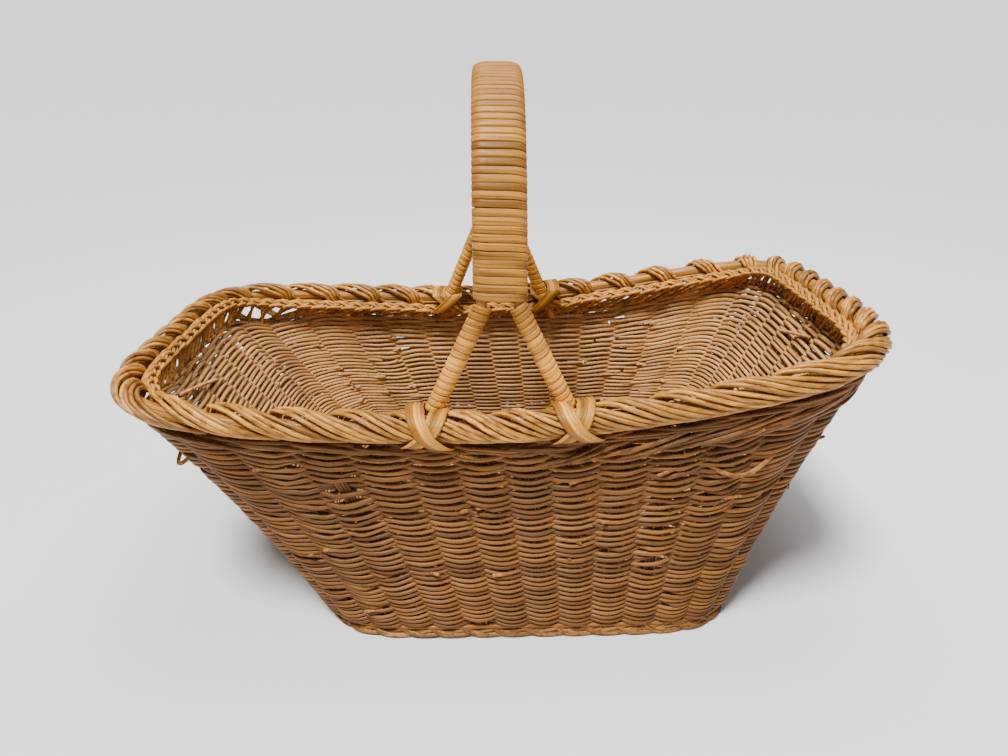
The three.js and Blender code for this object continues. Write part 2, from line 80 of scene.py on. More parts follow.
ROD_PLACE = 0.0108
FORK_LEVEL = 0.2355
LEG_SPREAD = 0.044
LASH_REACH = 0.01676
LASH_HOLD = 0.0065
ROLL_OUTER = 0.00946
BRAID_OFFSET = 0.0119
BRAID_TUCK = 0.0069


# Sizes and colours that a user would change

class BasketWeave(bpy.types.PropertyGroup):
    """Sizes of the reeds and counts of the weave"""
    courses: IntProperty(name="Courses", description="Rows of weaving on the long sides",
                         default=66, min=20)
    short_rows: IntProperty(name="Short rows", description="Extra pairs of rows at each end",
                            default=14, min=0)
    weaver_radius: FloatProperty(name="Weaver radius", description="Radius of the reed of the wall",
                                 default=0.00138, unit="LENGTH", precision=5)
    weave_depth: FloatProperty(name="Weave depth", description="Swing of a weaver in and out of the wall",
                               default=0.0029, unit="LENGTH", precision=5)
    sag: FloatProperty(name="Sag", description="Drop of a weaver where it passes outside a stake",
                       default=0.0010, unit="LENGTH", precision=5)
    stake_radius: FloatProperty(name="Stake radius", description="Radius of one rod of a stake",
                                default=0.00104, unit="LENGTH", precision=5)
    border_radius: FloatProperty(name="Border reed radius",
                                 description="Radius of a reed of the rolled border",
                                 default=0.00156, unit="LENGTH", precision=5)
    seed: IntProperty(name="Seed", description="Number that settles the unevenness of the reeds", default=7)


class BasketHandle(bpy.types.PropertyGroup):
    """Sizes of the cane on the handle"""
    bow_turns: IntProperty(name="Bow turns", description="Turns of cane round the bow", default=78, min=10)
    leg_turns: IntProperty(name="Leg turns", description="Turns of cane round each leg", default=17, min=3)
    cane_thickness: FloatProperty(name="Cane thickness", description="Thickness of the flat cane",
                                  default=0.0011, unit="LENGTH", precision=5)
    lash_width: FloatProperty(name="Lashing strip", description="Width of one strip of a lashing",
                              default=0.0023, unit="LENGTH", precision=5)


class BasketColours(bpy.types.PropertyGroup):
    """Colours of the reeds, the cane and the floor"""
    wall: FloatVectorProperty(name="Wall reed", description="Middle colour of the wall's reed",
                              subtype="COLOR", default=(0.235, 0.099, 0.0235), min=0, max=1)
    border: FloatVectorProperty(name="Border reed", description="Middle colour of the border's reed",
                                subtype="COLOR", default=(0.50, 0.238, 0.048), min=0, max=1)
    cane: FloatVectorProperty(name="Cane", description="Middle colour of the handle's cane",
                              subtype="COLOR", default=(0.575, 0.268, 0.040), min=0, max=1)
    core: FloatVectorProperty(name="Core rod", description="Colour of the rods under the border and handle",
                              subtype="COLOR", default=(0.38, 0.172, 0.036), min=0, max=1)
    floor: FloatVectorProperty(name="Floor", description="Colour of the studio floor",
                               subtype="COLOR", default=(0.72, 0.72, 0.72), min=0, max=1)


# Small helpers for arrays

def signed_power(value, power):
    """A power that keeps the sign of its base"""
    return np.sign(value) * np.abs(value) ** power


def eased(share):
    """A share from 0 to 1 that starts and ends gently"""
    return share * share * (3 - 2 * share)


def column(values):
    """Numbers stood in a column, to scale rows of vectors"""
    return np.asarray(values, float)[..., None]


def unit(vectors):
    """Vectors brought to a length of 1"""
    return vectors / np.linalg.norm(vectors, axis=-1, keepdims=True)


# Shape of the rim, the foot and the wall between them

class Outline:
    """A rounded plan outline, walked by a turn share: 0 at the right end, 0.25 at the back"""

    def __init__(self, half_length, half_width, squareness, shift, gather):
        angle = np.linspace(0, 2 * np.pi, 6401)
        self.x = half_length * signed_power(np.cos(angle), 2 / squareness) + shift
        self.y = half_width * signed_power(np.sin(angle), 2 / squareness)
        length = np.concatenate(([0], np.cumsum(np.hypot(np.diff(self.x), np.diff(self.y)))))
        self.share = length / length[-1]
        self.corner = half_width / (half_width + half_length)
        self.gather = gather

    def at(self, turn):
        """Place of a turn share; the stakes stand closer round the ends than along the sides"""
        wrapped = np.mod(turn, 1) * 4
        quarter = np.floor(wrapped)
        odd = quarter % 2 == 1
        inside = wrapped - quarter
        inside = np.where(odd, 1 - inside, inside)
        side = np.clip((inside - END_STAKES_SHARE) / (1 - END_STAKES_SHARE), 0, 1)
        gathered = side + self.gather * side * (1 - side)
        along = np.where(inside < END_STAKES_SHARE, self.corner * inside / END_STAKES_SHARE,
                         self.corner + (1 - self.corner) * gathered)
        share = (quarter + np.where(odd, 1 - along, along)) / 4
        return np.interp(share, self.share, self.x), np.interp(share, self.share, self.y)


RIM = Outline(RIM_HALF_LENGTH, RIM_HALF_WIDTH, RIM_SQUARENESS, 0, RIM_GATHER)
FOOT = Outline(BASE_HALF_LENGTH, BASE_HALF_WIDTH, BASE_SQUARENESS, BASE_SHIFT, BASE_GATHER)
STEP = 0.002  # Turns, or shares of the height, to both sides of a place, over which its slope is measured


def foot_point(turn):
    """Points of the outline of the foot, on the floor"""
    x, y = FOOT.at(turn)
    return np.stack([x, y, 0 * x], axis=-1)


def rim_point(turn):
    """Points of the middle of the rim, which rises to both ends and to the front"""
    x, y = RIM.at(turn)
    along = np.minimum(np.abs(x) / RIM_HALF_LENGTH, 1)
    rise = np.where(x < 0, LEFT_RISE * along ** LEFT_RISE_POWER, RIGHT_RISE * along ** RIGHT_RISE_POWER)
    return np.stack([x, y, RIM_HEIGHT + rise - FRONT_RISE * y / RIM_HALF_WIDTH], axis=-1)


def rim_frame(turn):
    """Point, tangent, outward and upward directions on the rim"""
    turn = np.asarray(turn, float)
    tangent = unit(rim_point(turn + STEP) - rim_point(turn - STEP))
    outward = unit(np.stack([tangent[..., 1], -tangent[..., 0], 0 * tangent[..., 0]], axis=-1))
    return rim_point(turn), tangent, outward, unit(np.cross(outward, tangent))


def around_rim(turn, out, up, along=0.0):
    """Points beside the rim: so far outward, upward and along it"""
    point, tangent, outward, upward = rim_frame(turn)
    return point + outward * column(out) + upward * column(up) + tangent * column(along)


def wall_middle(turn, share):
    """Points of the middle of the wall, by turn and by share of its height"""
    point, _, outward, _ = rim_frame(turn)
    foot, share = foot_point(turn), column(share)
    return foot + (point - foot) * share - outward * SIDE_HOLLOW * np.sin(np.pi * share)


def wall_frame(turn, share):
    """Up the wall, square out of it and along it"""
    along = unit(wall_middle(turn + STEP, share) - wall_middle(turn - STEP, share))
    rise = unit(wall_middle(turn, share + STEP) - wall_middle(turn, share - STEP))
    return rise, unit(np.cross(along, rise)), along


def beside_wall(turn, share, out, up=0.0):
    """Points beside the middle of the wall: so far out of it and up it"""
    rise, normal, _ = wall_frame(turn, share)
    return wall_middle(turn, share) + normal * column(out) + rise * column(up)


# Places where the old weave has slipped down: turn, width and drop
OPENINGS = ((0.165, 0.045, 0.0050), (0.398, 0.022, 0.0075), (0.53, 0.02, 0.0020))
FOOT_GAP = 0.0003  # Between the foot border and the lowest row
FOOT_LEAN = 0.0031  # Further room there, for a wall that leans flat


def wall_shares(turn):
    """Shares of the wall's height between which it is woven"""
    rim = rim_point(turn)
    height = rim[..., 2]
    _, normal, _ = wall_frame(turn, FOOT_HEIGHT / height)
    band = BAND_MIDDLE + (BAND_ENDS - BAND_MIDDLE) * (rim[..., 0] / RIM_HALF_LENGTH) ** 2
    for place, width, drop in OPENINGS:
        band = band + drop * np.exp(-((np.mod(turn, 1) - place) / width) ** 2)
    return (FOOT_HEIGHT + FOOT_GAP + FOOT_LEAN * np.abs(normal[..., 2])) / height, 1 - band / height


# Evenly spread randomness that is the same on each run

def smooth_noise(place, knots, seed):
    """Noise from -1 to 1 along a line, one knot for each unit of length"""
    values = np.random.default_rng(seed).uniform(-1, 1, knots + 2)
    cell = np.floor(place).astype(int) % knots
    part = eased(place - np.floor(place))
    return values[cell] * (1 - part) + values[(cell + 1) % knots] * part


def wander(count, spacing, knots, seed):
    """Noise along a row of points, with so many points from knot to knot"""
    return smooth_noise(np.arange(count) / spacing, knots, seed)


def patch_noise(across, up, across_knots, up_knots, seed):
    """Noise from -1 to 1 over a wrapped sheet"""
    values = np.random.default_rng(seed).uniform(-1, 1, (across_knots, up_knots + 2))
    i, j = np.floor(across).astype(int), np.clip(np.floor(up).astype(int), 0, up_knots)
    s, t = eased(across - np.floor(across)), eased(np.clip(up - j, 0, 1))
    low, high = (values[i % across_knots, row] * (1 - s) + values[(i + 1) % across_knots, row] * s
                 for row in (j, j + 1))
    return low * (1 - t) + high * t


# Making pieces

UNIT_RADIUS = 0.001  # Thickness of a curve whose points have a radius of 1
STRIP_RADIUS = 0.002  # Radius of a round reed with about the girth of a strip of cane
MAP_SHIFT = 9  # Greatest shift of a strand's map, in metres
CROWN, SHOULDER = 0.24, 0.55  # Fall of a strip's edges, and where the fall begins


def read(items, name, width=1, kind=float):
    """One value, or one vector, for each item of a mesh"""
    values = np.empty(len(items) * width, kind)
    items.foreach_get(name, values)
    return values.reshape(-1, width) if width > 1 else values


def add_object(name, data):
    """An object in the scene"""
    item = bpy.data.objects.new(name, data)
    bpy.context.scene.collection.objects.link(item)
    return item


def poured(shape, name):
    """A new mesh from an edited one, which is freed"""
    mesh = bpy.data.meshes.new(name)
    shape.to_mesh(mesh)
    shape.free()
    return mesh


def strand(points, radius, closed=False):
    """A round reed: its points, its radius at each one, and whether it closes"""
    points = np.asarray(points, float)
    return points, np.broadcast_to(np.asarray(radius, float), (len(points),)), closed


def island_labels(mesh):
    """A number for each loose part of a mesh, one for each vertex"""
    first, second = read(mesh.edges, "vertices", 2, np.int32).T
    label = np.arange(len(mesh.vertices))
    while True:
        low = np.minimum(label[first], label[second])
        lower = label.copy()
        for place in (first, second, label[first], label[second]):
            np.minimum.at(lower, place, low)
        lower = lower[lower]
        if np.array_equal(lower, label):
            return np.unique(label, return_inverse=True)[1]
        label = lower


def inner_side(mesh):
    """How far each vertex faces into the basket, from 0 to 1"""
    places = read(mesh.vertices, "co", 3)
    share = np.clip(places[:, 2] / RIM_HEIGHT, 0, 1)
    half_length = BASE_HALF_LENGTH + (RIM_HALF_LENGTH - BASE_HALF_LENGTH) * share
    half_width = BASE_HALF_WIDTH + (RIM_HALF_WIDTH - BASE_HALF_WIDTH) * share
    across = signed_power((places[:, 0] - BASE_SHIFT * (1 - share)) / half_length, 4) / half_length
    deep = signed_power(places[:, 1] / half_width, 4) / half_width
    outward = unit(np.stack([across, deep, 0 * deep + 1e-9], axis=1))
    return 0.5 - 0.5 * (outward * read(mesh.vertex_normals, "vector", 3)).sum(axis=1)


def mark_strands(mesh, mean_radius, seed):
    """Give each strand its own tone, and turn its UV map to real lengths"""
    label = island_labels(mesh)
    count = label.max() + 1
    random = np.random.default_rng(seed)
    tone = random.uniform(0, 1, count)
    shift = random.uniform(0, MAP_SHIFT, count)
    for name, values in (("tone", tone[label]), ("inner", inner_side(mesh))):
        mesh.attributes.new(name, "FLOAT", "POINT").data.foreach_set("value", values.astype(np.float32))
    corners = label[read(mesh.loops, "vertex_index", kind=np.int32)]
    starts = read(mesh.polygons, "loop_start", kind=np.int32)
    perimeter = 2 * np.pi * mean_radius
    length = np.bincount(corners[starts], weights=read(mesh.polygons, "area"), minlength=count) / perimeter
    layer = mesh.uv_layers[0]
    around, along = read(layer.data, "uv", 2).T
    uv = np.stack([around * perimeter, along * length[corners] + shift[corners]], axis=1)
    layer.data.foreach_set("uv", uv.astype(np.float32).ravel())
    layer.name = "strand"


def link_piece(name, mesh, finish, replaced):
    """Put a piece in the scene and tie it to the frame"""
    piece = add_object(name, mesh)
    mesh.materials.clear()
    mesh.materials.append(bpy.data.materials[finish])
    mesh.polygons.foreach_set("use_smooth", np.ones(len(mesh.polygons), bool))
    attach(piece, "root")
    if replaced:
        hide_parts(*replaced)


def reed_piece(name, strands, finish, replaced=(), *, seed, sides=6):
    """One piece from many round reeds, each a curve with a thickness"""
    curve = bpy.data.curves.new(name, "CURVE")
    curve.dimensions = "3D"
    curve.bevel_depth = UNIT_RADIUS
    curve.bevel_resolution = sides // 2 - 2
    curve.use_fill_caps = True
    for points, radius, closed in strands:
        spline = curve.splines.new("POLY")
        spline.points.add(len(points) - 1)
        places = np.column_stack([points, np.ones(len(points))])
        spline.points.foreach_set("co", places.astype(np.float32).ravel())
        spline.points.foreach_set("radius", (radius / UNIT_RADIUS).astype(np.float32))
        spline.use_cyclic_u = closed
    holder = add_object(name + "_curve", curve)
    shape = holder.evaluated_get(bpy.context.evaluated_depsgraph_get())
    mesh = bpy.data.meshes.new_from_object(shape)
    bpy.data.objects.remove(holder)
    bpy.data.curves.remove(curve)
    mesh.name = name
    shell = bmesh.new()
    shell.from_mesh(mesh)
    bmesh.ops.remove_doubles(shell, verts=shell.verts, dist=1e-6)
    shell.to_mesh(mesh)
    shell.free()
    mark_strands(mesh, float(np.mean(np.concatenate([radius for _, radius, _ in strands]))), seed)
    link_piece(name, mesh, finish, replaced)


def strip_sections(centres, across, out, width, thickness):
    """Sections of a flat strip of cane, a little domed on its outer face"""
    half = column(width) / 2
    rows = [(-1, 0), (-SHOULDER, 0), (SHOULDER, 0), (1, 0), (1, 1 - CROWN), (SHOULDER, 1), (-SHOULDER, 1),
            (-1, 1 - CROWN)]
    return np.stack([centres + across * half * x + out * thickness * z for x, z in rows], axis=1)


def strip_mesh(sections, closed):
    """A closed skin over a row of like sections, from a grid that is rolled up and welded"""
    sides = sections.shape[1]
    rows = np.concatenate([sections, sections[:1]]) if closed else sections
    skin = bmesh.new()
    skin.loops.layers.uv.new("UVMap")
    bmesh.ops.create_grid(skin, x_segments=sides, y_segments=len(rows) - 1, size=0.5, calc_uvs=True)
    for vertex in skin.verts:
        row = round((vertex.co.y + 0.5) * (len(rows) - 1))
        side = round((vertex.co.x + 0.5) * sides) % sides
        vertex.co = rows[row, side]
    bmesh.ops.remove_doubles(skin, verts=skin.verts, dist=1e-7)
    if not closed:
        bmesh.ops.holes_fill(skin, edges=[edge for edge in skin.edges if edge.is_boundary], sides=sides)
    bmesh.ops.recalc_face_normals(skin, faces=skin.faces)
    return poured(skin, "strip")


def strip_piece(name, strips, replaced, seed):
    """One piece from flat strips of cane, each a row of sections"""
    whole = bmesh.new()
    for sections, closed in strips:
        mesh = strip_mesh(sections, closed)
        whole.from_mesh(mesh)
        bpy.data.meshes.remove(mesh)
    mesh = poured(whole, name)
    mark_strands(mesh, STRIP_RADIUS, seed)
    link_piece(name, mesh, "cane_finish", replaced)


# Materials

# Fibre of a reed: output, cells in a metre across and along, detail
FIBRES = (("Streak", (1400, 26), 2.0), ("Groove", (4200, 40), 1.0), ("Patch", (60, 22), 2.0))
# Stains of age: output, scale, detail, and the noise at which a mark begins and is full
STAINS = (("Stain", 14.0, 3.0, 0.42, 0.68), ("Speck", 420.0, 2.0, 0.60, 0.72))
# Tones of the strands: place on the ramp, change of brightness and warmth
TONES = ((0.0, -0.62, 1.07), (0.35, -0.16, 1.03), (0.7, 0.22, 1.0), (1.0, 0.62, 0.97))
# Colours by which the fibre's noise darkens or brightens a reed
PATCH_TINTS = ((0.30, (0.42, 0.35, 0.27)), (0.50, (1, 1, 1)), (0.72, (1.22, 1.17, 1.06)))
STREAK_TINTS = ((0.34, (0.34, 0.26, 0.17)), (0.50, (0.90, 0.86, 0.80)), (0.72, (1.15, 1.12, 1.08)))
# Thin old varnish, the same on all of the reeds and the cane
VARNISH = {"Coat Roughness": 0.28, "Specular IOR Level": 0.3, "Specular Tint": (1.0, 0.82, 0.55, 1),
           "Coat Tint": (1.0, 0.86, 0.62, 1)}
# Paler colour of the reed on the inside of the wall: partly faded reed, partly painted light that falls
# into the basket
INNER_COLOUR = (0.745, 0.445, 0.182)


def new_group(name, inputs, outputs):
    """An empty node group with its inlet and outlet; all outputs are plain values"""
    group = bpy.data.node_groups.new(name, "ShaderNodeTree")
    for label, kind, value in inputs:
        socket = group.interface.new_socket(label, in_out="INPUT", socket_type=kind)
        if value is not None:
            socket.default_value = value
    for label in outputs:
        group.interface.new_socket(label, in_out="OUTPUT", socket_type="NodeSocketFloat")
    return group, group.nodes.new("NodeGroupInput"), group.nodes.new("NodeGroupOutput")


def add_node(tree, kind, values=None, **settings):
    """A node with its settings, and with a link or a value for each input that is named"""
    node = tree.nodes.new(kind)
    for key, value in settings.items():
        setattr(node, key, value)
    for key, value in (values or {}).items():
        if isinstance(value, bpy.types.NodeSocket):
            tree.links.new(value, node.inputs[key])
        else:
            node.inputs[key].default_value = value
    return node


def ramp(tree, factor, stops):
    """A colour ramp with a colour at each stop"""
    node = add_node(tree, "ShaderNodeValToRGB", {"Fac": factor})
    points = node.color_ramp.elements
    while len(points) < len(stops):
        points.new(0.5)
    for point, (place, colour) in zip(points, stops):
        point.position = place
        point.color = (*colour[:3], 1)
    return node.outputs["Color"]


def math_node(tree, operation, first, second, clamp=False):
    """A sum or product of two values"""
    node = add_node(tree, "ShaderNodeMath", {0: first, 1: second}, operation=operation, use_clamp=clamp)
    return node.outputs[0]


def map_range(tree, value, low=0.0, high=1.0, to_low=0.0, to_high=1.0):
    """A value moved from one range to another"""
    return add_node(tree, "ShaderNodeMapRange", {
        "Value": value, "From Min": low, "From Max": high, "To Min": to_low, "To Max": to_high}).outputs[0]


def mix_colour(tree, factor, first, second, blend="MIX"):
    """Two colours mixed or multiplied"""
    return add_node(tree, "ShaderNodeMix", {0: factor, 6: first, 7: second},
                    data_type="RGBA", blend_type=blend).outputs[2]


def attribute(tree, name):
    """A value that the mesh carries for each vertex"""
    return add_node(tree, "ShaderNodeAttribute", attribute_name=name).outputs["Fac"]


def fibre_group():
    """Long streaks, fine grooves and uneven patches that run along a reed"""
    group, inlet, outlet = new_group(
        "reed_fibre", [("Map", "NodeSocketVector", None), ("Fineness", "NodeSocketFloat", 1.0)],
        [label for label, _, _ in FIBRES])
    for label, cells, detail in FIBRES:
        place = add_node(group, "ShaderNodeVectorMath", {0: inlet.outputs["Map"], 1: (*cells, 1)},
                         operation="MULTIPLY").outputs[0]
        if label == "Streak":
            place = add_node(group, "ShaderNodeVectorMath", {0: place, "Scale": inlet.outputs["Fineness"]},
                             operation="SCALE").outputs[0]
        noise = add_node(group, "ShaderNodeTexNoise", {"Vector": place, "Scale": 1.0, "Detail": detail},
                         noise_dimensions="2D")
        group.links.new(noise.outputs["Fac"], outlet.inputs[label])
    return group


def age_group():
    """Broad stains and grime over the whole basket"""
    group, inlet, outlet = new_group(
        "age_stain", [("Place", "NodeSocketVector", None), ("Amount", "NodeSocketFloat", 0.5)],
        [label for label, *_ in STAINS])
    for label, scale, detail, low, high in STAINS:
        noise = add_node(group, "ShaderNodeTexNoise", {
            "Vector": inlet.outputs["Place"], "Scale": scale, "Detail": detail})
        marks = map_range(group, noise.outputs["Fac"], low, high)
        group.links.new(math_node(group, "MULTIPLY", marks, inlet.outputs["Amount"]), outlet.inputs[label])
    return group


def shade(colour, factor, warm=1.0):
    """A colour made darker or brighter, and warmer or cooler"""
    red, green, blue = colour
    return (min(red * factor * warm, 1), min(green * factor, 1), min(blue * factor / warm, 1), 1)


def reed_material(name, colour, groups, mapping="UV", rough=0.5, stain=0.5, contrast=1.0, coat=0.12,
                  fineness=1.0, faded_and_lit_inside=None, uneven=0.75):
    """Reed or cane: a tone for each strand, streaks along it, stains over the whole"""
    material = bpy.data.materials.new(name)
    material.use_nodes = True
    tree = material.node_tree
    shader = tree.nodes["Principled BSDF"]
    place = add_node(tree, "ShaderNodeTexCoord")
    fibre = add_node(tree, "ShaderNodeGroup", node_tree=groups["fibre"])
    fibre.inputs["Fineness"].default_value = fineness
    age = add_node(tree, "ShaderNodeGroup", node_tree=groups["age"])
    age.inputs["Amount"].default_value = stain
    tree.links.new(place.outputs["Object"], age.inputs["Place"])
    if mapping == "UV":
        tree.links.new(place.outputs["UV"], fibre.inputs["Map"])
        tone = attribute(tree, "tone")
    else:
        spot = place.outputs["Object"]
        turned = add_node(tree, "ShaderNodeMapping", {"Vector": spot, "Rotation": mapping})
        tree.links.new(turned.outputs[0], fibre.inputs["Map"])
        noise = add_node(tree, "ShaderNodeTexNoise", {"Vector": spot, "Scale": 9.0})
        tone = noise.outputs["Fac"]

    spread = 0.5 * contrast
    tones = [(stop, shade(colour, 1 + change * spread, warm)) for stop, change, warm in TONES]
    base = ramp(tree, tone, tones)
    if faded_and_lit_inside:
        # The inside of the wall is painted paler: partly faded reed, partly painted light that falls into
        # the basket
        inside = map_range(tree, attribute(tree, "inner"), 0.35, 0.75, to_high=0.9)
        # Darker towards the top of the wall, under the border: a painted shadow of the border, with some
        # grime
        height = add_node(tree, "ShaderNodeSeparateXYZ", {0: place.outputs["Object"]}).outputs["Z"]
        rim_shadow_and_grime = map_range(tree, height, 0.10, 0.165, to_high=0.45)
        base = mix_colour(tree, rim_shadow_and_grime, base, shade(colour, 0.55, 1.1))
        base = mix_colour(tree, inside, base, (*faded_and_lit_inside, 1))
    toned = mix_colour(tree, uneven, base, ramp(tree, fibre.outputs["Patch"], PATCH_TINTS), "MULTIPLY")
    streaked = mix_colour(tree, 0.8, toned, ramp(tree, fibre.outputs["Streak"], STREAK_TINTS), "MULTIPLY")
    stained = mix_colour(tree, age.outputs["Stain"], streaked, shade(colour, 0.42, 0.97))
    speckled = mix_colour(tree, age.outputs["Speck"], stained, shade(colour, 0.2))
    tree.links.new(speckled, shader.inputs["Base Color"])

    roughness = map_range(tree, fibre.outputs["Streak"], to_low=rough + 0.12, to_high=rough - 0.10)
    dulled = math_node(tree, "ADD", roughness,
                       math_node(tree, "MULTIPLY", age.outputs["Stain"], 0.15), clamp=True)
    tree.links.new(dulled, shader.inputs["Roughness"])
    for socket, value in {"Coat Weight": coat, **VARNISH}.items():
        shader.inputs[socket].default_value = value
    height = math_node(tree, "ADD", math_node(tree, "MULTIPLY", fibre.outputs["Groove"], 0.6),
                       math_node(tree, "MULTIPLY", fibre.outputs["Streak"], 0.6))
    bump = add_node(tree, "ShaderNodeBump", {"Height": height, "Strength": 0.55, "Distance": 0.00022})
    tree.links.new(bump.outputs[0], shader.inputs["Normal"])


def make_finishes(colours):
    """Make the basket's materials, once"""
    if "wall_finish" in bpy.data.materials:
        return
    groups = {"fibre": fibre_group(), "age": age_group()}
    reed_material("wall_finish", colours.wall, groups, contrast=1.6, faded_and_lit_inside=INNER_COLOUR)
    reed_material("end_finish", shade(colours.wall, 1.6)[:3], groups, rough=0.6, stain=0.2, contrast=1.3,
                  coat=0.05, faded_and_lit_inside=INNER_COLOUR)
    reed_material("border_finish", colours.border, groups, rough=0.45, stain=0.45, contrast=1.6, coat=0.2)
    reed_material("braid_finish", colours.border, groups, rough=0.48, contrast=1.15)
    reed_material("cane_finish", colours.cane, groups, rough=0.42, stain=0.35, contrast=1.9, coat=0.06,
                  fineness=1.25, uneven=0.95)
    reed_material("core_finish", colours.core, groups, contrast=0.7)
    reed_material("base_finish", shade(colours.wall, 1.5)[:3], groups, rough=0.6, stain=0.6, coat=0.05)
    reed_material("rod_finish", colours.core, groups, mapping=(0, math.pi / 2, 0), rough=0.55, stain=0.4)


# Operators

# The camera, as it was fitted to the photograph: metres, radians and pixels
CAMERA_PLACE = (-0.0062, -0.5249, 0.380)
CAMERA_YAW, CAMERA_PITCH, CAMERA_ROLL = -0.0198, 0.438, -0.003
FOCAL_PIXELS, PHOTO_PIXELS, SENSOR_WIDTH = 757, 1008, 36

FLOOR_LEVEL, FLOOR_HALF_SIZE = -0.0002, 30
SUN_POWER, SKY_POWER, SKY_COLOUR = 6.8, 0.14, (0.9, 0.93, 1.0, 1)
# Lamps: name, kind, place, power, and size in radians for the sun and metres for the others
LAMPS = (("key", "SUN", (-0.28, -0.40, 1.35), SUN_POWER, 0.3), ("fill", "AREA", (0.9, -1.1, 0.9), 4, 0.9),
         ("top", "AREA", (0.1, 0.25, 1.4), 15, 0.9))
LIT_PLACE = (0, 0, 0.12)  # Where all the lamps point


class BasketOperator:
    """What the operators that build pieces have in common"""
    bl_options = {"REGISTER", "UNDO"}

    def execute(self, context):
        make_finishes(context.scene.basket_colours)
        self.build(context, context.scene.basket_weave)
        return {"FINISHED"}


class BASKET_OT_stage(bpy.types.Operator):
    """Set up the camera, the floor and the studio light"""
    bl_idname = "basket.stage"
    bl_label = "Stage"

    def execute(self, context):
        floor_colour = context.scene.basket_colours.floor
        camera = bpy.data.cameras.new("photo_camera")
        camera.sensor_width = SENSOR_WIDTH
        camera.lens = FOCAL_PIXELS * SENSOR_WIDTH / PHOTO_PIXELS
        camera.clip_start = 0.01
        holder = add_object("photo_camera", camera)
        holder.matrix_world = (Matrix.Translation(CAMERA_PLACE) @ Matrix.Rotation(CAMERA_YAW, 4, "Z")
                               @ Matrix.Rotation(math.pi / 2 - CAMERA_PITCH, 4, "X")
                               @ Matrix.Rotation(CAMERA_ROLL, 4, "Z"))
        context.scene.camera = holder

        sheet = bmesh.new()
        bmesh.ops.create_grid(sheet, x_segments=8, y_segments=8, size=FLOOR_HALF_SIZE)
        floor = poured(sheet, "studio_floor")
        material = bpy.data.materials.new("studio_floor")
        material.use_nodes = True
        shader = material.node_tree.nodes["Principled BSDF"]
        shader.inputs["Base Color"].default_value = (*floor_colour, 1)
        shader.inputs["Roughness"].default_value = 0.75
        floor.materials.append(material)
        ground = add_object("studio_floor", floor)
        ground.location.z = FLOOR_LEVEL

        for name, kind, place, power, size in LAMPS:
            lamp = bpy.data.lights.new(name + "_light", kind)
            lamp.energy = power
            setattr(lamp, "angle" if kind == "SUN" else "size", size)
            stand = add_object(name + "_light", lamp)
            stand.location = place
            stand.rotation_euler = (Vector(LIT_PLACE) - Vector(place)).to_track_quat("-Z", "Y").to_euler()

        world = bpy.data.worlds.new("studio")
        world.use_nodes = True
        tree = world.node_tree
        background = tree.nodes["Background"]
        background.inputs["Color"].default_value = SKY_COLOUR
        # The camera sees a sky as bright as the lit floor, so no horizon shows
        seen = add_node(tree, "ShaderNodeLightPath").outputs["Is Camera Ray"]
        floor_light = floor_colour[0] * (SKY_POWER + 0.9 * SUN_POWER / math.pi)
        tree.links.new(map_range(tree, seen, to_low=SKY_POWER, to_high=floor_light),
                       background.inputs["Strength"])
        context.scene.world = world
        return {"FINISHED"}


SEAM = 0.25  # Turn at which the spiral starts, in the middle of the back
WEAVER_STEPS = 10  # Points of a weaver from one stake to the next
FINEST_ROW = 0.78  # Height of the lowest row beside a middling one
REED_TURNS = (0.9, 1.8)  # Turns that one reed of the spiral lasts
REED_SPREAD = (0.86, 1.14)  # Thickness of a reed beside a middling one
BUNCHING, BUNCH_ROWS = 0.60, 2.1  # Rows by which a patch of the weave is pushed up or down, and rows in it
END_FULLNESS = 0.13  # Share by which reeds are thicker round the back of the ends
STAKE_RODS, ROD_SPACING = 4, 2.02  # Rods in a stake, and their distance in radii
ROD_POINTS = 12
STAKE_FOOT = 0.045  # Share of the height at which the stakes leave the foot border
ROD_STRAY, ROD_BEND, TIP_GAP = 0.0002, 0.0008, 0.002  # Of the rods, and from their tips to the core
REED_DRIFT, TOP_DRIFT = 0.00018, 0.00042  # How far a reed strays at the foot, and more at the top
NEAR_SPAN = 0.15  # Distance over which the looseness of the near side fades
SHORT_REACH, SHORT_SPREAD, SHORT_TRIM = 0.125, 0.065, 0.012  # Turns that a short pair reaches each way


def short_row_places(weave):
    """End, course below, and reach round the end of each short pair of rows"""
    random = np.random.default_rng(weave.seed + 40)
    places = []
    for end in (0.0, 0.5):
        for index in range(weave.short_rows):
            course = int(5 + (weave.courses - 8) * (index + 0.5) / weave.short_rows)
            places.append((end, course, SHORT_REACH + SHORT_SPREAD * random.uniform(0, 1)))
    return places


def short_row_weight(turn, end, reach):
    """1 where a short pair lies at full height, 0 beyond its reach"""
    away = np.abs(np.mod(turn - end + 0.5, 1) - 0.5)
    return eased(np.clip((reach - away) / 0.03, 0, 1))


def added_rows(turn, pairs, under=np.inf):
    """Rows that the short pairs add at each turn, counting the pairs under a course"""
    return sum(2 * short_row_weight(turn, end, reach) * (row < under) for end, row, reach in pairs)


def row_share(level):
    """Height share of a row: the rows are finer at the foot than at the top"""
    return level * (FINEST_ROW + (1 - FINEST_ROW) * level)


def row_size(level):
    """Thickness of a row's reed beside the middling one"""
    return FINEST_ROW + 2 * (1 - FINEST_ROW) * level + 0.07 * (1 - level)


def fullness(turn):
    """The reeds are thicker round the back of both ends, where the wall shuts tightly"""
    rim = rim_point(turn)
    towards_end = np.clip((np.abs(rim[..., 0]) / RIM_HALF_LENGTH - 0.5) / 0.3, 0, 1)
    behind = np.clip(0.5 + rim[..., 1] / 0.12, 0, 1)
    return 1 + END_FULLNESS * towards_end * behind


def tucked(swing):
    """Both ends of a weaver lie behind a stake"""
    order = np.arange(len(swing))
    blend = np.clip(np.minimum(order, order[::-1]) / 6, 0, 1)
    return swing * blend - 0.9 * (1 - blend)


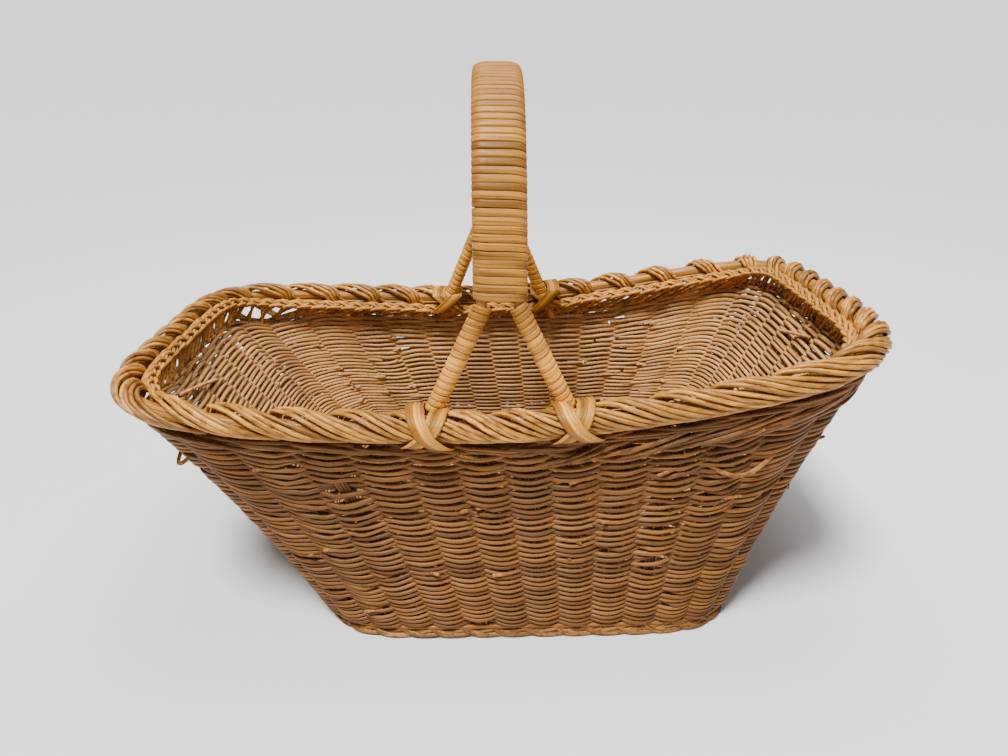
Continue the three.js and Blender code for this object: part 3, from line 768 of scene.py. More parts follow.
def weaver_points(weave, pairs, turn, order, crossing, seed):
    """Points of one weaver, from its place in the order of rows and the stakes that it crosses"""
    order, total = order + 0.5, weave.courses + added_rows(turn, pairs) + 1
    foot, top = wall_shares(turn)
    level = order / total
    # Patches are looser towards the top and on the near side; single reeds wander most near the top
    bunch = patch_noise(np.mod(turn, 1) * STAKES, order / BUNCH_ROWS, STAKES, 60, weave.seed)
    nearness = np.clip(0.7 - wall_middle(turn, 0.5)[:, 1] / NEAR_SPAN, 0.4, 1)
    order = order + BUNCHING * bunch * (0.25 + 0.75 * level) * nearness
    share = foot + (top - foot) * row_share(np.clip(order / total, 0.004, 1.004))
    drift = wander(len(turn), 9, 400, seed) * (REED_DRIFT + TOP_DRIFT * level ** 2)
    depth = weave.weave_depth * (1 + 0.10 * wander(len(turn), 10, 400, seed + 1))
    swing = tucked(np.cos(np.pi * crossing))
    return beside_wall(turn, share, signed_power(swing, 0.85) * depth, drift - weave.sag * swing)


def stakes(weave):
    """Four thin rods in each stake, which lean along the border above the weave"""
    random = np.random.default_rng(weave.seed + 2)
    rods = []
    for index in range(STAKES):
        leaning = index / STAKES
        root = np.full(ROD_POINTS, leaning - STAKE_LEAN / STAKES)
        below = np.linspace(STAKE_FOOT, wall_shares(root[:1])[1][0] + 0.01, ROD_POINTS)
        rise, normal, along = wall_frame(root, below)
        point, tangent, _, _ = rim_frame(np.array([leaning]))
        share = np.linspace(0, 1, 6)[1:, None]
        for rod in range(STAKE_RODS):
            sideways = (rod - (STAKE_RODS - 1) / 2) * ROD_SPACING * weave.stake_radius
            lower = wall_middle(root, below) + along * sideways
            lower += normal * ROD_STRAY * random.uniform(-1, 1, (ROD_POINTS, 1))
            tip = point - rise[-1:] * (CORE_RADIUS + TIP_GAP) + tangent * sideways * 1.1
            upper = lower[-1:] * (1 - share) + tip * share
            upper += tangent * ROD_BEND * random.uniform(-1, 1) * np.sin(np.pi * share)
            radius = weave.stake_radius * random.uniform(0.92, 1.06)
            rods.append(strand(np.concatenate([lower, upper]), radius))
    return rods


# The pieces of the wall, from the foot up, and the nodes that they replace
WALL_PIECES = (("wall_weave_lower", ["woven_wall"]), ("wall_weave_middle", []),
               ("wall_weave_upper", ["upper_weave"]))


class BASKET_OT_wall(BasketOperator, bpy.types.Operator):
    """Weave the wall from one long spiral of reed, with short rows that build up both ends"""
    bl_idname = "basket.wall"
    bl_label = "Woven wall"

    def build(self, context, weave):
        random = np.random.default_rng(weave.seed)
        pairs = short_row_places(weave)
        step = 1 / (STAKES * WEAVER_STEPS)
        strands = []
        start = 0.0
        while start < weave.courses - step:
            end = min(start + random.uniform(*REED_TURNS), weave.courses - 0.001)
            place = np.arange(start, end, step)
            course = np.floor(place)
            turn = SEAM + place - course
            points = weaver_points(weave, pairs, turn, place + added_rows(turn, pairs, course),
                                   STAKES * (SEAM + place) + STAKE_LEAN, int(start * 97) + 5)
            radius = weave.weaver_radius * random.uniform(*REED_SPREAD) * row_size(place / weave.courses)
            radius = radius * (1 + 0.05 * wander(len(turn), 25, 200, int(start * 31)))
            strands.append((start / weave.courses, strand(points, radius * fullness(turn))))
            start = end
        for side, row, reach in pairs:
            for level in (1, 2):
                half = reach - SHORT_TRIM * random.uniform(0.6, 1.6)
                turn = side + np.arange(-half, half, step)
                past = np.mod(turn - SEAM, 1)
                lifted = level * (1 + 2 * short_row_weight(turn, side, reach)) / 3
                order = row + past + added_rows(turn, pairs, row) + lifted
                points = weaver_points(weave, pairs, turn, order,
                                       STAKES * (SEAM + row + past) + STAKE_LEAN + level, row * 7 + level)
                radius = weave.weaver_radius * random.uniform(0.88, 1.08) * row_size(row / weave.courses)
                strands.append((row / weave.courses, strand(points, radius * fullness(turn))))
        for third, (name, replaced) in enumerate(WALL_PIECES):
            reeds = [reed for share, reed in strands if min(int(share * 3), 2) == third]
            reed_piece(name, reeds, "wall_finish", replaced, seed=11 + third)
        reed_piece("stake_rods", stakes(weave), "wall_finish", seed=14)


CUT_ENDS = 90
END_DEPTH, END_REACH = 0.0012, (0.0022, 0.0048)  # Of a cut end: out at its root, and more at its tip
END_LIFT, END_TAPER = 0.0015, 0.25  # Metres that the tip rises, and the share of its radius that it loses
# Weavers that have sprung out of the wall: first turn, reach, level, drop and distance out
SPRUNG = ((0.846, 0.030, 0.74, 0.045, 0.0060), (0.590, 0.013, 0.79, 0.012, 0.0085),
          (0.15, 0.040, 0.70, 0.050, 0.0050))
# Reeds that lie aslant on the inside: first turn, reach, level and climb
ASLANT = ((0.548, -0.044, 0.860, -0.062), (0.020, -0.037, 0.815, 0.05))
SPRUNG_DEPTH, ASLANT_DEPTH, ASLANT_BULGE = 0.0010, 0.0042, 0.0018  # From the middle of the wall


class BASKET_OT_ends(BasketOperator, bpy.types.Operator):
    """Scatter the cut ends and the sprung weavers of an old wall"""
    bl_idname = "basket.ends"
    bl_label = "Loose ends"

    def build(self, context, weave):
        random = np.random.default_rng(weave.seed + 9)
        strands = []
        share = np.linspace(0, 1, 7)
        for index in range(CUT_ENDS):
            side = 1 if index % 3 else -1
            start = (np.floor(random.uniform(0, STAKES)) + random.uniform(-0.1, 0.25) - STAKE_LEAN) / STAKES
            turn = start + np.linspace(0, random.uniform(0.22, 0.5), 7) / STAKES * random.choice((-1, 1))
            level = random.uniform(0.12, 0.88) + share * random.uniform(-0.02, 0.03)
            out = side * (END_DEPTH + share * random.uniform(*END_REACH))
            radius = weave.weaver_radius * random.uniform(0.75, 1.0) * (1 - END_TAPER * share)
            strands.append(strand(beside_wall(turn, level, out, END_LIFT * share ** 2), radius))
        share = np.linspace(0, 1, 24)
        bow = np.sin(np.pi * share)
        for start, reach, level, drop, out in SPRUNG:
            points = beside_wall(start + reach * share, level - drop * bow, SPRUNG_DEPTH + out * bow)
            strands.append(strand(points, weave.weaver_radius))
        share = np.linspace(0, 1, 16)
        inward = ASLANT_DEPTH + ASLANT_BULGE * np.sin(np.pi * share)
        for start, reach, level, climb in ASLANT:
            points = beside_wall(start + reach * share, level + climb * share, -inward)
            strands.append(strand(points, weave.weaver_radius))
        reed_piece("loose_ends", strands, "end_finish", seed=15)


LONG_WALE, CLIMBING_WALE, STEEP_WALE = 6, 26, 18
# Long reeds, in metres over the wall's top: the first set, the second over it, dip, slope and stray
LONG_HEIGHT, SET_HEIGHT, LONG_DIP, LONG_SLOPE, LONG_STRAY = 0.0006, 0.0018, 0.0017, 0.0008, 0.0008
LONG_SWING = 0.0040  # How far they pass in and out of the wall
# Climbing reeds: first height, climb and ripple in height, then distance and swing outwards
CLIMB_HEIGHT, CLIMB, CLIMB_RIPPLE = -0.001, (0.004, 0.0075), 0.0006
CLIMB_DEPTH, CLIMB_SWING = 0.0008, 0.0030
# Steep reeds: start, spacing and stray round the rim, then in height, then distance, bulge and swing out
STEEP_START, STEEP_SPACING, STEEP_STRAY = 0.765, 0.011, 0.008
STEEP_HEIGHT, STEEP_CLIMB, STEEP_RIPPLE = -0.0125, 0.0145, 0.0005
STEEP_DEPTH, STEEP_BULGE, STEEP_SWING = 0.0024, 0.0024, 0.0009


class BASKET_OT_wale(BasketOperator, bpy.types.Operator):
    """Lay the loose waling reeds that close the top of the wall under the border"""
    bl_idname = "basket.wale"
    bl_label = "Top wale"

    def build(self, context, weave):
        random = np.random.default_rng(weave.seed + 3)
        step = 1 / (STAKES * 8)
        strands = []
        # Six long reeds, in two sets of three that pass over three stakes
        for rod in range(LONG_WALE):
            turn = SEAM + rod * 0.31 + np.arange(0, 0.98, step)
            place = STAKES * turn / 3 + rod / 3
            swing = np.clip(0.45 + 0.95 * np.cos(2 * np.pi * place), -1, 1)
            rising = np.mod(place + 0.35, 1) - 0.5
            height = LONG_HEIGHT + SET_HEIGHT * (rod // 3) - LONG_DIP * np.sin(2 * np.pi * place)
            height = height + LONG_SLOPE * rising
            height = height + LONG_STRAY * wander(len(turn), 14, 300, 70 + rod)
            points = beside_wall(turn, wall_shares(turn)[1] + 0.002, swing * LONG_SWING, height)
            strands.append(strand(points, weave.weaver_radius * random.uniform(0.8, 1.0)))
        # Short reeds that climb towards the border, all the way round
        for index in range(CLIMBING_WALE):
            start = (index + random.uniform(-0.4, 0.4)) / CLIMBING_WALE
            turn = start + np.arange(0, random.uniform(0.07, 0.15), step)
            share = np.linspace(0, 1, len(turn))
            swing = np.cos(np.pi * (STAKES * turn / 2 + index))
            climb = random.uniform(*CLIMB) * share
            height = CLIMB_HEIGHT + climb + CLIMB_RIPPLE * np.sin(STAKES * np.pi * turn + index)
            points = beside_wall(turn, wall_shares(turn)[1], CLIMB_DEPTH + swing * CLIMB_SWING, height)
            strands.append(strand(points, weave.weaver_radius * random.uniform(0.9, 1.1)))
        # Steeper ones over the weave at the near right, where the photograph shows them
        for index in range(STEEP_WALE):
            start = STEEP_START + STEEP_SPACING * index + STEEP_STRAY * random.uniform(-1, 1)
            turn = start + np.arange(0, random.uniform(0.035, 0.075), step)
            share = np.linspace(0, 1, len(turn))
            _, top = wall_shares(turn)
            _, normal, _ = wall_frame(turn, top)
            climb = STEEP_CLIMB * share ** random.uniform(0.8, 1.3)
            height = STEEP_HEIGHT + climb + STEEP_RIPPLE * np.sin(STAKES * np.pi * turn + index)
            out = STEEP_DEPTH + STEEP_BULGE * np.sin(np.pi * share)
            out = out + STEEP_SWING * np.cos(STAKES * np.pi * turn + index)
            points = wall_middle(turn, top + height / rim_point(turn)[:, 2]) + normal * column(out)
            strands.append(strand(points, weave.weaver_radius * random.uniform(0.85, 1.05)))
        reed_piece("top_wale_reeds", strands, "wall_finish", ["top_wale"], seed=21)


FOOT_REED, SCALLOP_REED = 0.0014, 0.00125
TWIST_TURNS, SCALLOP_POINTS = 14, 18
TWIST_RADIUS, TWIST_HEIGHT, TWIST_INSET = 0.0018, 0.0036, 0.0006
FILLERS = ((0.0, 0.0064), (0.0052, 0.0068), (0.0098, 0.0072))  # Distance out and height
# Scallops: height, dip, inset and bow outwards of a stake's first reed, and the change to each next one
SCALLOP_HEIGHT, HEIGHT_STEP, SCALLOP_DIP, DIP_STEP = 0.0084, 0.0012, 0.0068, 0.0021
SCALLOP_INSET, INSET_STEP, SCALLOP_BOW, BOW_STEP = 0.0004, 0.0003, 0.0036, 0.0007
SCALLOP_SINK = 0.0030  # How much lower a scallop ends than it starts
SCALLOP_FLOOR = 0.00145  # Least height of a scallop's middle


class BASKET_OT_foot(BasketOperator, bpy.types.Operator):
    """Lay the reeds that turn round the foot of the wall"""
    bl_idname = "basket.foot"
    bl_label = "Foot border"

    def build(self, context, weave):
        random = np.random.default_rng(weave.seed + 8)
        strands = []
        samples = np.arange(0, 1, 1 / (STAKES * 8))
        ring = foot_point(samples)
        _, _, outward, _ = rim_frame(samples)
        # Three reeds twisted together, and three single ones that fill the corner under the wall
        for rod in range(3):
            phase = 2 * np.pi * (TWIST_TURNS * samples + rod / 3)
            points = ring + outward * column(TWIST_RADIUS * np.cos(phase) - TWIST_INSET)
            points[:, 2] += TWIST_HEIGHT + TWIST_RADIUS * np.sin(phase)
            strands.append(strand(points, FOOT_REED, True))
        _, normal, _ = wall_frame(samples, 0.05)
        for out, up in FILLERS:
            points = ring + outward * out * np.abs(normal[:, 2:3]) + [0, 0, up]
            strands.append(strand(points, FOOT_REED, True))
        # Scallops: three reeds of each stake dip to the floor and rise behind the next one
        share = np.linspace(0, 1, SCALLOP_POINTS)
        bow = np.sin(np.pi * share ** 0.8)
        span = np.linspace(-0.1, 1.75, SCALLOP_POINTS)
        for index in range(STAKES):
            for rod in range(3):
                turn = (index + span + 0.06 * random.uniform(-1, 1)) / STAKES
                _, _, outward, _ = rim_frame(turn)
                out = -SCALLOP_INSET + (SCALLOP_BOW - BOW_STEP * rod) * bow + INSET_STEP * rod
                dip = (SCALLOP_DIP - DIP_STEP * rod) * bow
                points = foot_point(turn)
                points += outward * column(out)
                points[:, 2] += SCALLOP_HEIGHT - HEIGHT_STEP * rod - dip - SCALLOP_SINK * share
                points[:, 2] = np.maximum(points[:, 2], SCALLOP_FLOOR)
                strands.append(strand(points, SCALLOP_REED * random.uniform(0.9, 1.08)))
        reed_piece("foot_border_reeds", strands, "wall_finish", ["foot_border"], seed=31)


BASE_ROWS = 96
BASE_STICKS = 5
STICK_SPACING = 0.042
BASE_MIDDLE, BASE_SWING = 0.0042, 0.0029  # Height of the sticks, and how far the reeds pass over and under
STICK_RADIUS, BASE_REED = 0.0019, 0.00150
STICK_INSET, STICK_STRAY = 0.004, 0.0002
BASE_OVERHANG, REED_INSET, REED_STRAY, STRAY_LENGTH = 0.0010, 0.0005, 0.0003, 0.02
BASE_FLOOR = 0.0014  # Least height of a reed's middle


def base_half(half, place, limit):
    """Half the base's size across, at a place on the other axis"""
    return half * (1 - np.abs(place / limit) ** BASE_SQUARENESS) ** (1 / BASE_SQUARENESS)


class BASKET_OT_base(BasketOperator, bpy.types.Operator):
    """Weave the flat base over its sticks"""
    bl_idname = "basket.base"
    bl_label = "Base"

    def build(self, context, weave):
        random = np.random.default_rng(weave.seed + 4)
        sticks, reeds = [], []
        for index in range(BASE_STICKS):
            place = (index - (BASE_STICKS - 1) / 2) * STICK_SPACING
            half = base_half(BASE_HALF_LENGTH, place, BASE_HALF_WIDTH) - STICK_INSET
            for side in (-1, 1):
                x = np.linspace(-half, half, 10) + BASE_SHIFT
                y = place + side * STICK_RADIUS + STICK_STRAY * random.uniform(-1, 1, 10)
                sticks.append(strand(np.stack([x, y, np.full(10, BASE_MIDDLE)], axis=-1), STICK_RADIUS))
        reach = BASE_HALF_LENGTH + BASE_OVERHANG
        for index in range(BASE_ROWS):
            place = (index - (BASE_ROWS - 1) / 2) * 2 * reach / BASE_ROWS
            half = base_half(BASE_HALF_WIDTH, place, reach) - REED_INSET
            y = np.linspace(-half, half, 56)
            wave = (1 if index % 2 else -1) * np.cos(np.pi * y / STICK_SPACING)
            x = BASE_SHIFT + place + REED_STRAY * smooth_noise(y / STRAY_LENGTH + 10, 60, 300 + index)
            z = np.clip(BASE_MIDDLE + BASE_SWING * signed_power(wave, 0.8), BASE_FLOOR, 1)
            reeds.append(strand(np.stack([x, y, z], axis=-1), BASE_REED * random.uniform(0.92, 1.06)))
        reed_piece("base_sticks", sticks, "core_finish",
                   [f"base_stick_{n}" for n in range(1, BASE_STICKS + 1)], sides=10, seed=41)
        reed_piece("base_weave", reeds, "base_finish", ["base_mat"], seed=42)


# How many stakes a bundle runs on along the border before it tucks in, by turn
ROLL_RUN = ((0.0, 0.9), (0.06, 0.75), (0.12, 0.8), (0.16, 1.2), (0.20, 2.2), (0.28, 2.5), (0.42, 2.5),
            (0.46, 1.3), (0.54, 1.5), (0.59, 2.2), (0.66, 2.5), (0.88, 2.5), (0.94, 2.1), (0.975, 1.3),
            (1.0, 0.9))
ROLL_REEDS = 4
UNDER_REED, UNDER_GAP, UNDER_STRAY = 0.0014, 0.0016, 0.0007
UNDER_ANGLES = (205, 228, 251)  # Places of the long reeds under the bundles, in degrees round the core
ROLL_LIFT, ROLL_BULGE, ROLL_SLACK = 0.0021, 0.0018, 0.0006  # Over other bundles, by its middle, at random
ROLL_GAP, SIDE_STRAY, ALONG_STRAY = 0.0001, 0.0005, 0.0003
PRESSED = 0.014  # How far from a leg its lashings press on the border
ROLL_START, ROLL_SWEEP = math.radians(250), math.radians(345)  # Angles round the core


def rolled_reed(weave, random, start, run, pitch, place):
    """One reed of a bundle: up the inside, over the core and down the outside, as it runs along"""
    radius = weave.border_radius * random.uniform(0.94, 1.05)
    share = np.linspace(0, 1, 30)
    angle = ROLL_START - share * ROLL_SWEEP
    # It climbs almost square to the border, and then runs on along it
    rising = np.clip(share / 0.42, 0, 1)
    along = (0.30 * rising + (run - 0.30) * np.clip((share - 0.30) / 0.70, 0, 1) ** 1.15) * pitch
    on_top = np.clip(1.25 - 1.5 * np.abs(share - 0.36) / 0.36, 0, 1)
    lift = ROLL_LIFT * np.clip((run - 0.7) / 1.6, 0, 1) * on_top
    loose = ROLL_SLACK * random.uniform(0, 1) * np.sin(np.pi * share) ** 2
    loose = loose + ROLL_BULGE * (1 - (place / 1.7) ** 2) * np.sin(np.pi * np.clip(share, 0, 0.9) / 0.9)
    # The lashings press the bundles flat on both sides of each leg
    from_leg = np.abs(np.abs(rim_point(start + along / (pitch * STAKES))[:, 0]) - LEG_SPREAD)
    distance = CORE_RADIUS + radius + ROLL_GAP + (lift + loose) * np.clip(from_leg / PRESSED, 0.2, 1)
    slope = unit(np.stack([np.gradient(-distance * angle), np.gradient(along)], axis=-1))
    gathered = 1.04 - 0.30 * np.clip((share - 0.45) / 0.5, 0, 1) * (run > 1.5)
    sideways = place * 2.06 * weave.border_radius * gathered
    sideways = sideways + SIDE_STRAY * random.uniform(-1, 1) * np.sin(2 * np.pi * share)
    angle = angle + sideways * slope[:, 1] / distance
    along = along + sideways * slope[:, 0] + ALONG_STRAY * random.uniform(-1, 1)
    turn = start + along / (pitch * STAKES)
    return strand(around_rim(turn, distance * np.cos(angle), distance * np.sin(angle)), radius)


class BASKET_OT_border(BasketOperator, bpy.types.Operator):
    """Roll the stakes over the core as bundles of reed"""
    bl_idname = "basket.border"
    bl_label = "Rolled border"

    def build(self, context, weave):
        random = np.random.default_rng(weave.seed + 5)
        core = strand(around_rim(np.arange(0, 1, 1 / (STAKES * 6)), 0, 0), CORE_RADIUS, True)
        reed_piece("border_core_rod", [core], "core_finish", ["border_core"],
                   sides=14, seed=51)
        strands = []
        for index in range(STAKES):
            start = index / STAKES
            run = np.interp(start, *zip(*ROLL_RUN))
            pitch = np.linalg.norm(rim_point(start + 0.5 / STAKES) - rim_point(start - 0.5 / STAKES))
            for reed in range(ROLL_REEDS):
                place = reed - (ROLL_REEDS - 1) / 2
                strands.append(rolled_reed(weave, random, start, run, pitch, place))
        turn = np.arange(0, 1, 1 / (STAKES * 4))
        for degrees in UNDER_ANGLES:
            angle = math.radians(degrees)
            reach = CORE_RADIUS + UNDER_GAP + UNDER_STRAY * wander(len(turn), 7, 60, degrees)
            points = around_rim(turn, reach * math.cos(angle), reach * math.sin(angle))
            strands.append(strand(points, UNDER_REED, True))
        reed_piece("border_bundles", strands, "border_finish", ["border_roll"], seed=52)


BRAID_TURNS = 34
BRAID_REED, BRAID_END_REED = 0.00134, 0.00132
BRAID_END_COUNT = STAKES * 5
# How far the pairs of reeds swing across the braid and through it, their stray, and a reed from its pair
BRAID_ACROSS, BRAID_DEEP, BRAID_STRAY, REED_ACROSS, REED_DEEP = 0.0028, 0.0017, 0.0006, 0.0017, 0.0009
# Beside a leg: length of the bend, and how far the braid moves out and is tucked further down
BEND_LENGTH, BEND_OUT, BEND_TUCK = 0.020, 0.0008, 0.0018
# Cut ends: start below the braid's middle, reach past the wall's top, and distance out at root and tip
BRAID_END_START, BRAID_END_OVERLAP, BRAID_END_OUT, BRAID_END_LEAN = 0.0008, 0.002, 0.0006, 0.0090


def braid_place(turn):
    """Outward and upward place of the braid beside the border's core; it dips beside the legs"""
    point, _, outward, upward = rim_frame(turn)
    rise, _, _ = wall_frame(turn, wall_shares(turn)[1])
    lean = np.arctan2((rise * outward).sum(-1), (rise * upward).sum(-1))
    from_leg = np.abs(np.abs(point[..., 0]) - LEG_SPREAD) - PRESSED
    beside_leg = eased(np.clip(1 - from_leg / BEND_LENGTH, 0, 1))
    bend = np.where(np.abs(point[..., 1]) > RIM_HALF_WIDTH / 2, beside_leg, 0)
    inward, tuck = BRAID_OFFSET - BEND_OUT * bend, BRAID_TUCK + BEND_TUCK * bend
    return -inward * np.cos(lean) - tuck * np.sin(lean), inward * np.sin(lean) - tuck * np.cos(lean)


class BASKET_OT_braid(BasketOperator, bpy.types.Operator):
    """Twist the inner braid of the border and lay its cut ends"""
    bl_idname = "basket.braid"
    bl_label = "Inner braid"

    def build(self, context, weave):
        random = np.random.default_rng(weave.seed + 6)
        strands = []
        turn = np.arange(0, 1, 1 / (STAKES * 9))
        out, up = braid_place(turn)
        gaps = np.linalg.norm(np.roll(rim_point(turn), -1, axis=0) - rim_point(turn), axis=1)
        run = (np.cumsum(gaps) - gaps) / gaps.sum()
        for group in range(3):
            phase = 2 * np.pi * (BRAID_TURNS * run + group / 3)
            for reed in (-1, 1):
                uneven = wander(len(turn), 9, 200, 90 + group * 3 + reed)
                across = (BRAID_ACROSS + BRAID_STRAY * uneven) * np.sin(phase)
                across = across + reed * REED_ACROSS * np.abs(np.cos(phase))
                deep = BRAID_DEEP * np.sin(2 * phase) + reed * REED_DEEP * np.abs(np.sin(phase))
                points = around_rim(turn, out - 0.7 * (across + deep), up - 0.7 * (across - deep))
                strands.append(strand(points, BRAID_REED * random.uniform(0.9, 1.1), True))
        ends = []
        share = np.linspace(0, 1, 8)
        for index in range(BRAID_END_COUNT):
            start = (index + random.uniform(-0.3, 0.3)) / BRAID_END_COUNT
            turn = start + np.linspace(0, random.uniform(0.45, 0.95) / STAKES, 8)
            _, top = wall_shares(turn)
            band = (1 - top) * rim_point(turn)[:, 2] - BRAID_TUCK
            lower = BRAID_END_START + share * (band * random.uniform(0.8, 1.2) + BRAID_END_OVERLAP)
            rise, normal, _ = wall_frame(turn, top)
            points = (around_rim(turn, *braid_place(turn)) - rise * column(lower)
                      + normal * column(BRAID_END_OUT + BRAID_END_LEAN * share ** 1.3))
            ends.append(strand(points, BRAID_END_REED * random.uniform(0.85, 1.08)))
        reed_piece("inner_braid_reeds", strands, "braid_finish", ["inner_braid"], seed=61)
        reed_piece("braid_ends", ends, "braid_finish", seed=62)


# The handle's arch lies in the plane x = 0, and is walked by the length from its front end

ARCH_ANGLE = np.linspace(0, np.pi, 3201)
ARCH_Y = -ARCH_HALF_SPAN * signed_power(np.cos(ARCH_ANGLE), 2 / ARCH_POWER)
ARCH_Z = RIM_HEIGHT + ARCH_RISE * np.sin(ARCH_ANGLE).clip(0, 1) ** (2 / ARCH_POWER)
ARCH_RUN = np.concatenate(([0], np.cumsum(np.hypot(np.diff(ARCH_Y), np.diff(ARCH_Z)))))
ARCH_LENGTH = ARCH_RUN[-1]
FORK_LENGTH = float(np.interp(FORK_LEVEL, ARCH_Z[:1600], ARCH_RUN[:1600]))
LEGS = [(end, name, side) for end in ("front", "back") for name, side in (("left", -1), ("right", 1))]
BOW_STEPS, LEG_STEPS = 24, 14  # Sections in one turn of the cane
CANE_GAP, LEG_CANE_GAP = 0.00025, 0.0002  # Between one turn and the next
BOW_LIFT, LEG_LIFT = 0.00035, 0.0010  # Of the middle of the cane over the rods
BOW_STRAY, LEG_OVERLAP, LEG_HIDDEN = 0.0002, 0.001, 0.0035  # Along the arch
TANGENT_STEP = 0.0006
ACROSS = np.array([1.0, 0, 0])


def arch_frame(length):
    """Point, tangent and normal of the arch; it runs straight down beyond its ends"""
    inside = np.clip(length, 0, ARCH_LENGTH)

    def at(run):
        run = np.clip(run, 0, ARCH_LENGTH)
        y, z = np.interp(run, ARCH_RUN, ARCH_Y), np.interp(run, ARCH_RUN, ARCH_Z)
        return np.stack([0 * y, y, z], axis=-1)

    tangent = unit(at(inside + TANGENT_STEP) - at(inside - TANGENT_STEP))
    point = at(inside) + tangent * column(length - inside)
    normal = np.stack([0 * inside, -tangent[..., 2], tangent[..., 1]], axis=-1)
    return point, tangent, normal


def bow_winding(handle):
    """One strip of cane round four rods that lie side by side"""
    wound = ARCH_LENGTH - 2 * FORK_LENGTH
    pitch = wound / handle.bow_turns
    step = np.arange(handle.bow_turns * BOW_STEPS + 1)
    length = FORK_LENGTH + pitch * 0.5 + (wound - pitch) * step / step[-1]
    length = length + BOW_STRAY * wander(len(step), 31, 90, 5)
    point, tangent, normal = arch_frame(length)
    angle = 2 * np.pi * step / BOW_STEPS
    bent = unit(np.stack([signed_power(np.cos(angle), 1.6), signed_power(np.sin(angle), 0.9)], axis=-1))
    reach = ROD_RADIUS + BOW_LIFT
    flat = ROD_PLACE * signed_power(np.cos(angle), 0.35)
    centre = point + ACROSS * column(flat + reach * bent[:, 0]) + normal * column(reach * bent[:, 1])
    out = ACROSS * bent[:, :1] + normal * bent[:, 1:]
    width = (pitch - CANE_GAP) * (1 + 0.05 * wander(len(step), 17, 120, 6))
    return strip_sections(centre, tangent, out, width, handle.cane_thickness), False


def leg_winding(handle, end, side):
    """Cane round one leg, from the fork down to the lashing"""
    rise = FRONT_RISE if end == "front" else -FRONT_RISE
    start = FORK_LENGTH - ROD_RADIUS
    rate = (LEG_SPREAD - ROD_PLACE) / (start - rise)
    bottom = rise + ROLL_OUTER - LEG_HIDDEN  # Under the lashing, where it can't be seen
    step = np.arange(handle.leg_turns * LEG_STEPS + 1)
    length = start + LEG_OVERLAP - (start + LEG_OVERLAP - bottom) * step / step[-1]
    point, tangent, _ = arch_frame(length)
    point = point + ACROSS * side * column(ROD_PLACE + rate * (start - length))
    down = unit(-tangent + ACROSS * side * rate)
    across = unit(ACROSS - down * down[:, :1])
    angle = 2 * np.pi * step / LEG_STEPS
    out = across * column(np.cos(angle)) + np.cross(down, across) * column(np.sin(angle))
    centre = point + out * (ROD_RADIUS + LEG_LIFT)
    if end == "back":  # The arch is walked from its front end, so the back is a mirror image
        centre, out, down = (vectors * [1, -1, 1] for vectors in (centre, out, down))
    pitch = np.linalg.norm(point[0] - point[-1]) / handle.leg_turns
    return strip_sections(centre, down, out, pitch - LEG_CANE_GAP, handle.cane_thickness), False


class BASKET_OT_handle(BasketOperator, bpy.types.Operator):
    """Wind the bow and the four legs of the handle with flat cane"""
    bl_idname = "basket.handle"
    bl_label = "Wound handle"

    def build(self, context, weave):
        handle = context.scene.basket_handle
        strip_piece("bow_cane", [bow_winding(handle)], ["bow_wrap"], seed=71)
        for end, name, side in LEGS:
            strip_piece(f"leg_cane_{end}_{name}", [leg_winding(handle, end, side)],
                        [f"leg_wrap_{end}_{name}"], seed=72)


LASH_THICKNESS = 0.0009
LASH_LIFT, LASH_LAYER = 0.0004, 0.0012  # Of the under layer over the border, and from layer to layer
ROLL_THICKNESS = 0.0047  # Of the bundles between the core and the lashings
LASH_STRIPS = (-2, -1, 0, 1, 2)
# How far the strips spread to each side, above and below the border's middle, and more round the inside
SPREAD_ABOVE, SPREAD_BELOW, MORE_ABOVE, MORE_BELOW = 0.0065, 0.0110, 0.0045, 0.0010
CORNER_ABOVE, CORNER_BELOW = 0.0005, 0.001  # How far the inner corners stand out


def turn_of_leg(side, end):
    """Turn at which the rim passes a leg"""
    turn = np.linspace(0, 0.5, 8001)
    place = float(np.interp(-side * LEG_SPREAD, -RIM.at(turn)[0], turn))
    return place if end == "back" else 1 - place


def lashing_strip(handle, turn, layer, direction, place):
    """One closed strip, round the outside of the border and the inside of the leg"""
    lift = LASH_LIFT + layer * LASH_LAYER
    radius, reach, hold = CORE_RADIUS + ROLL_THICKNESS + lift, LASH_REACH + lift, LASH_HOLD + lift
    angle = np.linspace(-np.pi / 2, np.pi / 2, 15)
    arc = radius * np.stack([np.cos(angle), np.sin(angle)], axis=-1)
    inner = [[-reach / 2, (radius + hold) / 2 + CORNER_ABOVE],
             *([-reach, hold * share] for share in (1, 0.5, 0, -0.5, -1)),
             [-reach / 2, -(radius + hold) / 2 - CORNER_BELOW]]
    outline = np.concatenate([arc, inner])
    square = unit(np.roll(outline, -1, axis=0) - np.roll(outline, 1, axis=0))[:, ::-1] * [1, -1]
    above, inward = outline[:, 1] > 0, np.clip(-outline[:, 0] / reach, 0, 1)
    widest = np.where(above, SPREAD_ABOVE, SPREAD_BELOW) + inward * np.where(above, MORE_ABOVE, MORE_BELOW)
    swing = direction * widest * outline[:, 1] / radius + place * handle.lash_width * 0.95
    turns = np.full(len(outline), turn)
    _, _, outward, upward = rim_frame(turns)
    centres = around_rim(turns, outline[:, 0], outline[:, 1], swing)
    out = outward * square[:, :1] + upward * square[:, 1:]
    path = unit(np.roll(centres, -1, axis=0) - np.roll(centres, 1, axis=0))
    across = unit(np.cross(out, path))
    return strip_sections(centres, across, out, handle.lash_width, LASH_THICKNESS), True


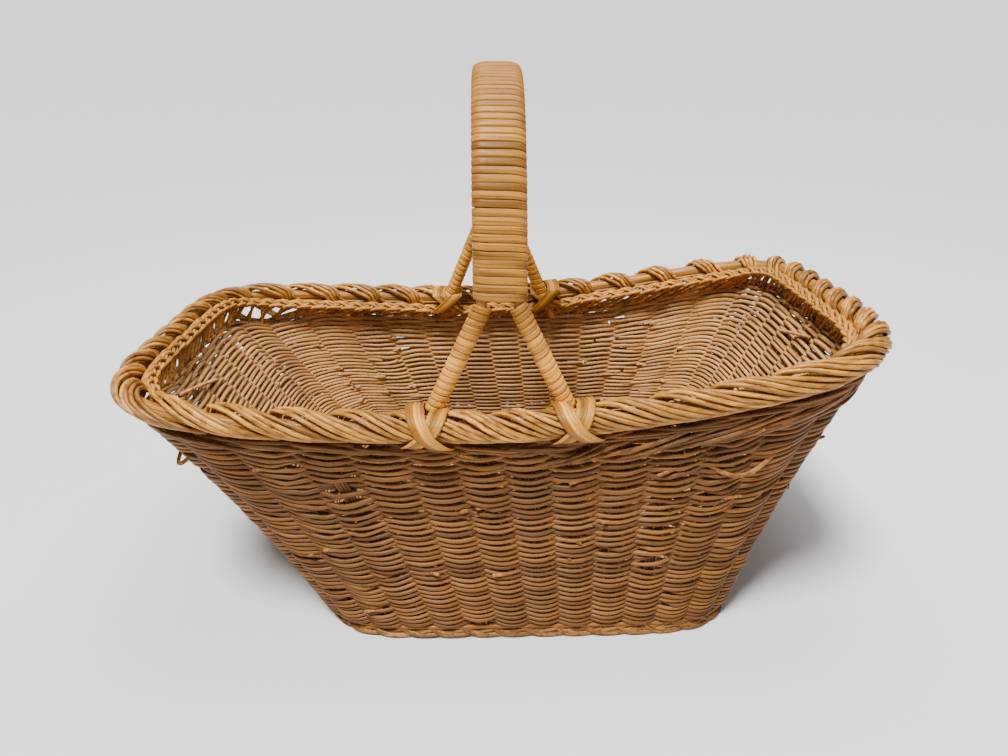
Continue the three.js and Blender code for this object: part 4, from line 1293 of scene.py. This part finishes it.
class BASKET_OT_lashings(BasketOperator, bpy.types.Operator):
    """Cross strips of cane over the border at the foot of each leg"""
    bl_idname = "basket.lashings"
    bl_label = "Lashings"

    def build(self, context, weave):
        handle = context.scene.basket_handle
        for end, name, side in LEGS:
            turn = turn_of_leg(side, end)
            for layer, direction, word in ((0, 1, "under"), (1, -1, "over")):
                strips = [lashing_strip(handle, turn, layer, direction, place) for place in LASH_STRIPS]
                strip_piece(f"lashing_cane_{end}_{name}_{word}", strips, [f"lashing_{end}_{name}_{word}"],
                            seed=80 + layer)


class BASKET_OT_rods(BasketOperator, bpy.types.Operator):
    """Finish the rods of the handle, which stay as they are in the frame"""
    bl_idname = "basket.rods"
    bl_label = "Handle rods"

    def build(self, context, weave):
        for node in ("handle_rod_left", "handle_rod_right", "handle_filler_left", "handle_filler_right"):
            mesh = bpy.data.objects[node].data
            mesh.materials.clear()
            mesh.materials.append(bpy.data.materials["rod_finish"])


class BASKET_PT_panel(bpy.types.Panel):
    """List the steps that build the basket"""
    bl_idname = "BASKET_PT_panel"
    bl_label = "Wicker basket"
    bl_space_type = "VIEW_3D"
    bl_region_type = "UI"
    bl_category = "Basket"

    def draw(self, context):
        steps = self.layout.column(align=True)
        for operator in OPERATORS:
            steps.operator(operator.bl_idname)
        scene = context.scene
        for group in (scene.basket_weave, scene.basket_handle, scene.basket_colours):
            box = self.layout.box()
            for name in group.bl_rna.properties.keys():
                if name not in {"rna_type", "name"}:
                    box.prop(group, name)


OPERATORS = (BASKET_OT_stage, BASKET_OT_wall, BASKET_OT_ends, BASKET_OT_wale, BASKET_OT_foot,
             BASKET_OT_base, BASKET_OT_border, BASKET_OT_braid, BASKET_OT_handle, BASKET_OT_lashings,
             BASKET_OT_rods)
GROUPS = (BasketWeave, BasketHandle, BasketColours)


def register():
    for item in (*GROUPS, *OPERATORS, BASKET_PT_panel):
        bpy.utils.register_class(item)
    bpy.types.Scene.basket_weave = PointerProperty(type=BasketWeave)
    bpy.types.Scene.basket_handle = PointerProperty(type=BasketHandle)
    bpy.types.Scene.basket_colours = PointerProperty(type=BasketColours)


def unregister():
    del bpy.types.Scene.basket_weave, bpy.types.Scene.basket_handle, bpy.types.Scene.basket_colours
    for item in reversed((*GROUPS, *OPERATORS, BASKET_PT_panel)):
        bpy.utils.unregister_class(item)


def main():
    register()
    for operator in OPERATORS:
        getattr(bpy.ops.basket, operator.bl_idname.split(".")[1])()


if __name__ == "__main__":
    main()
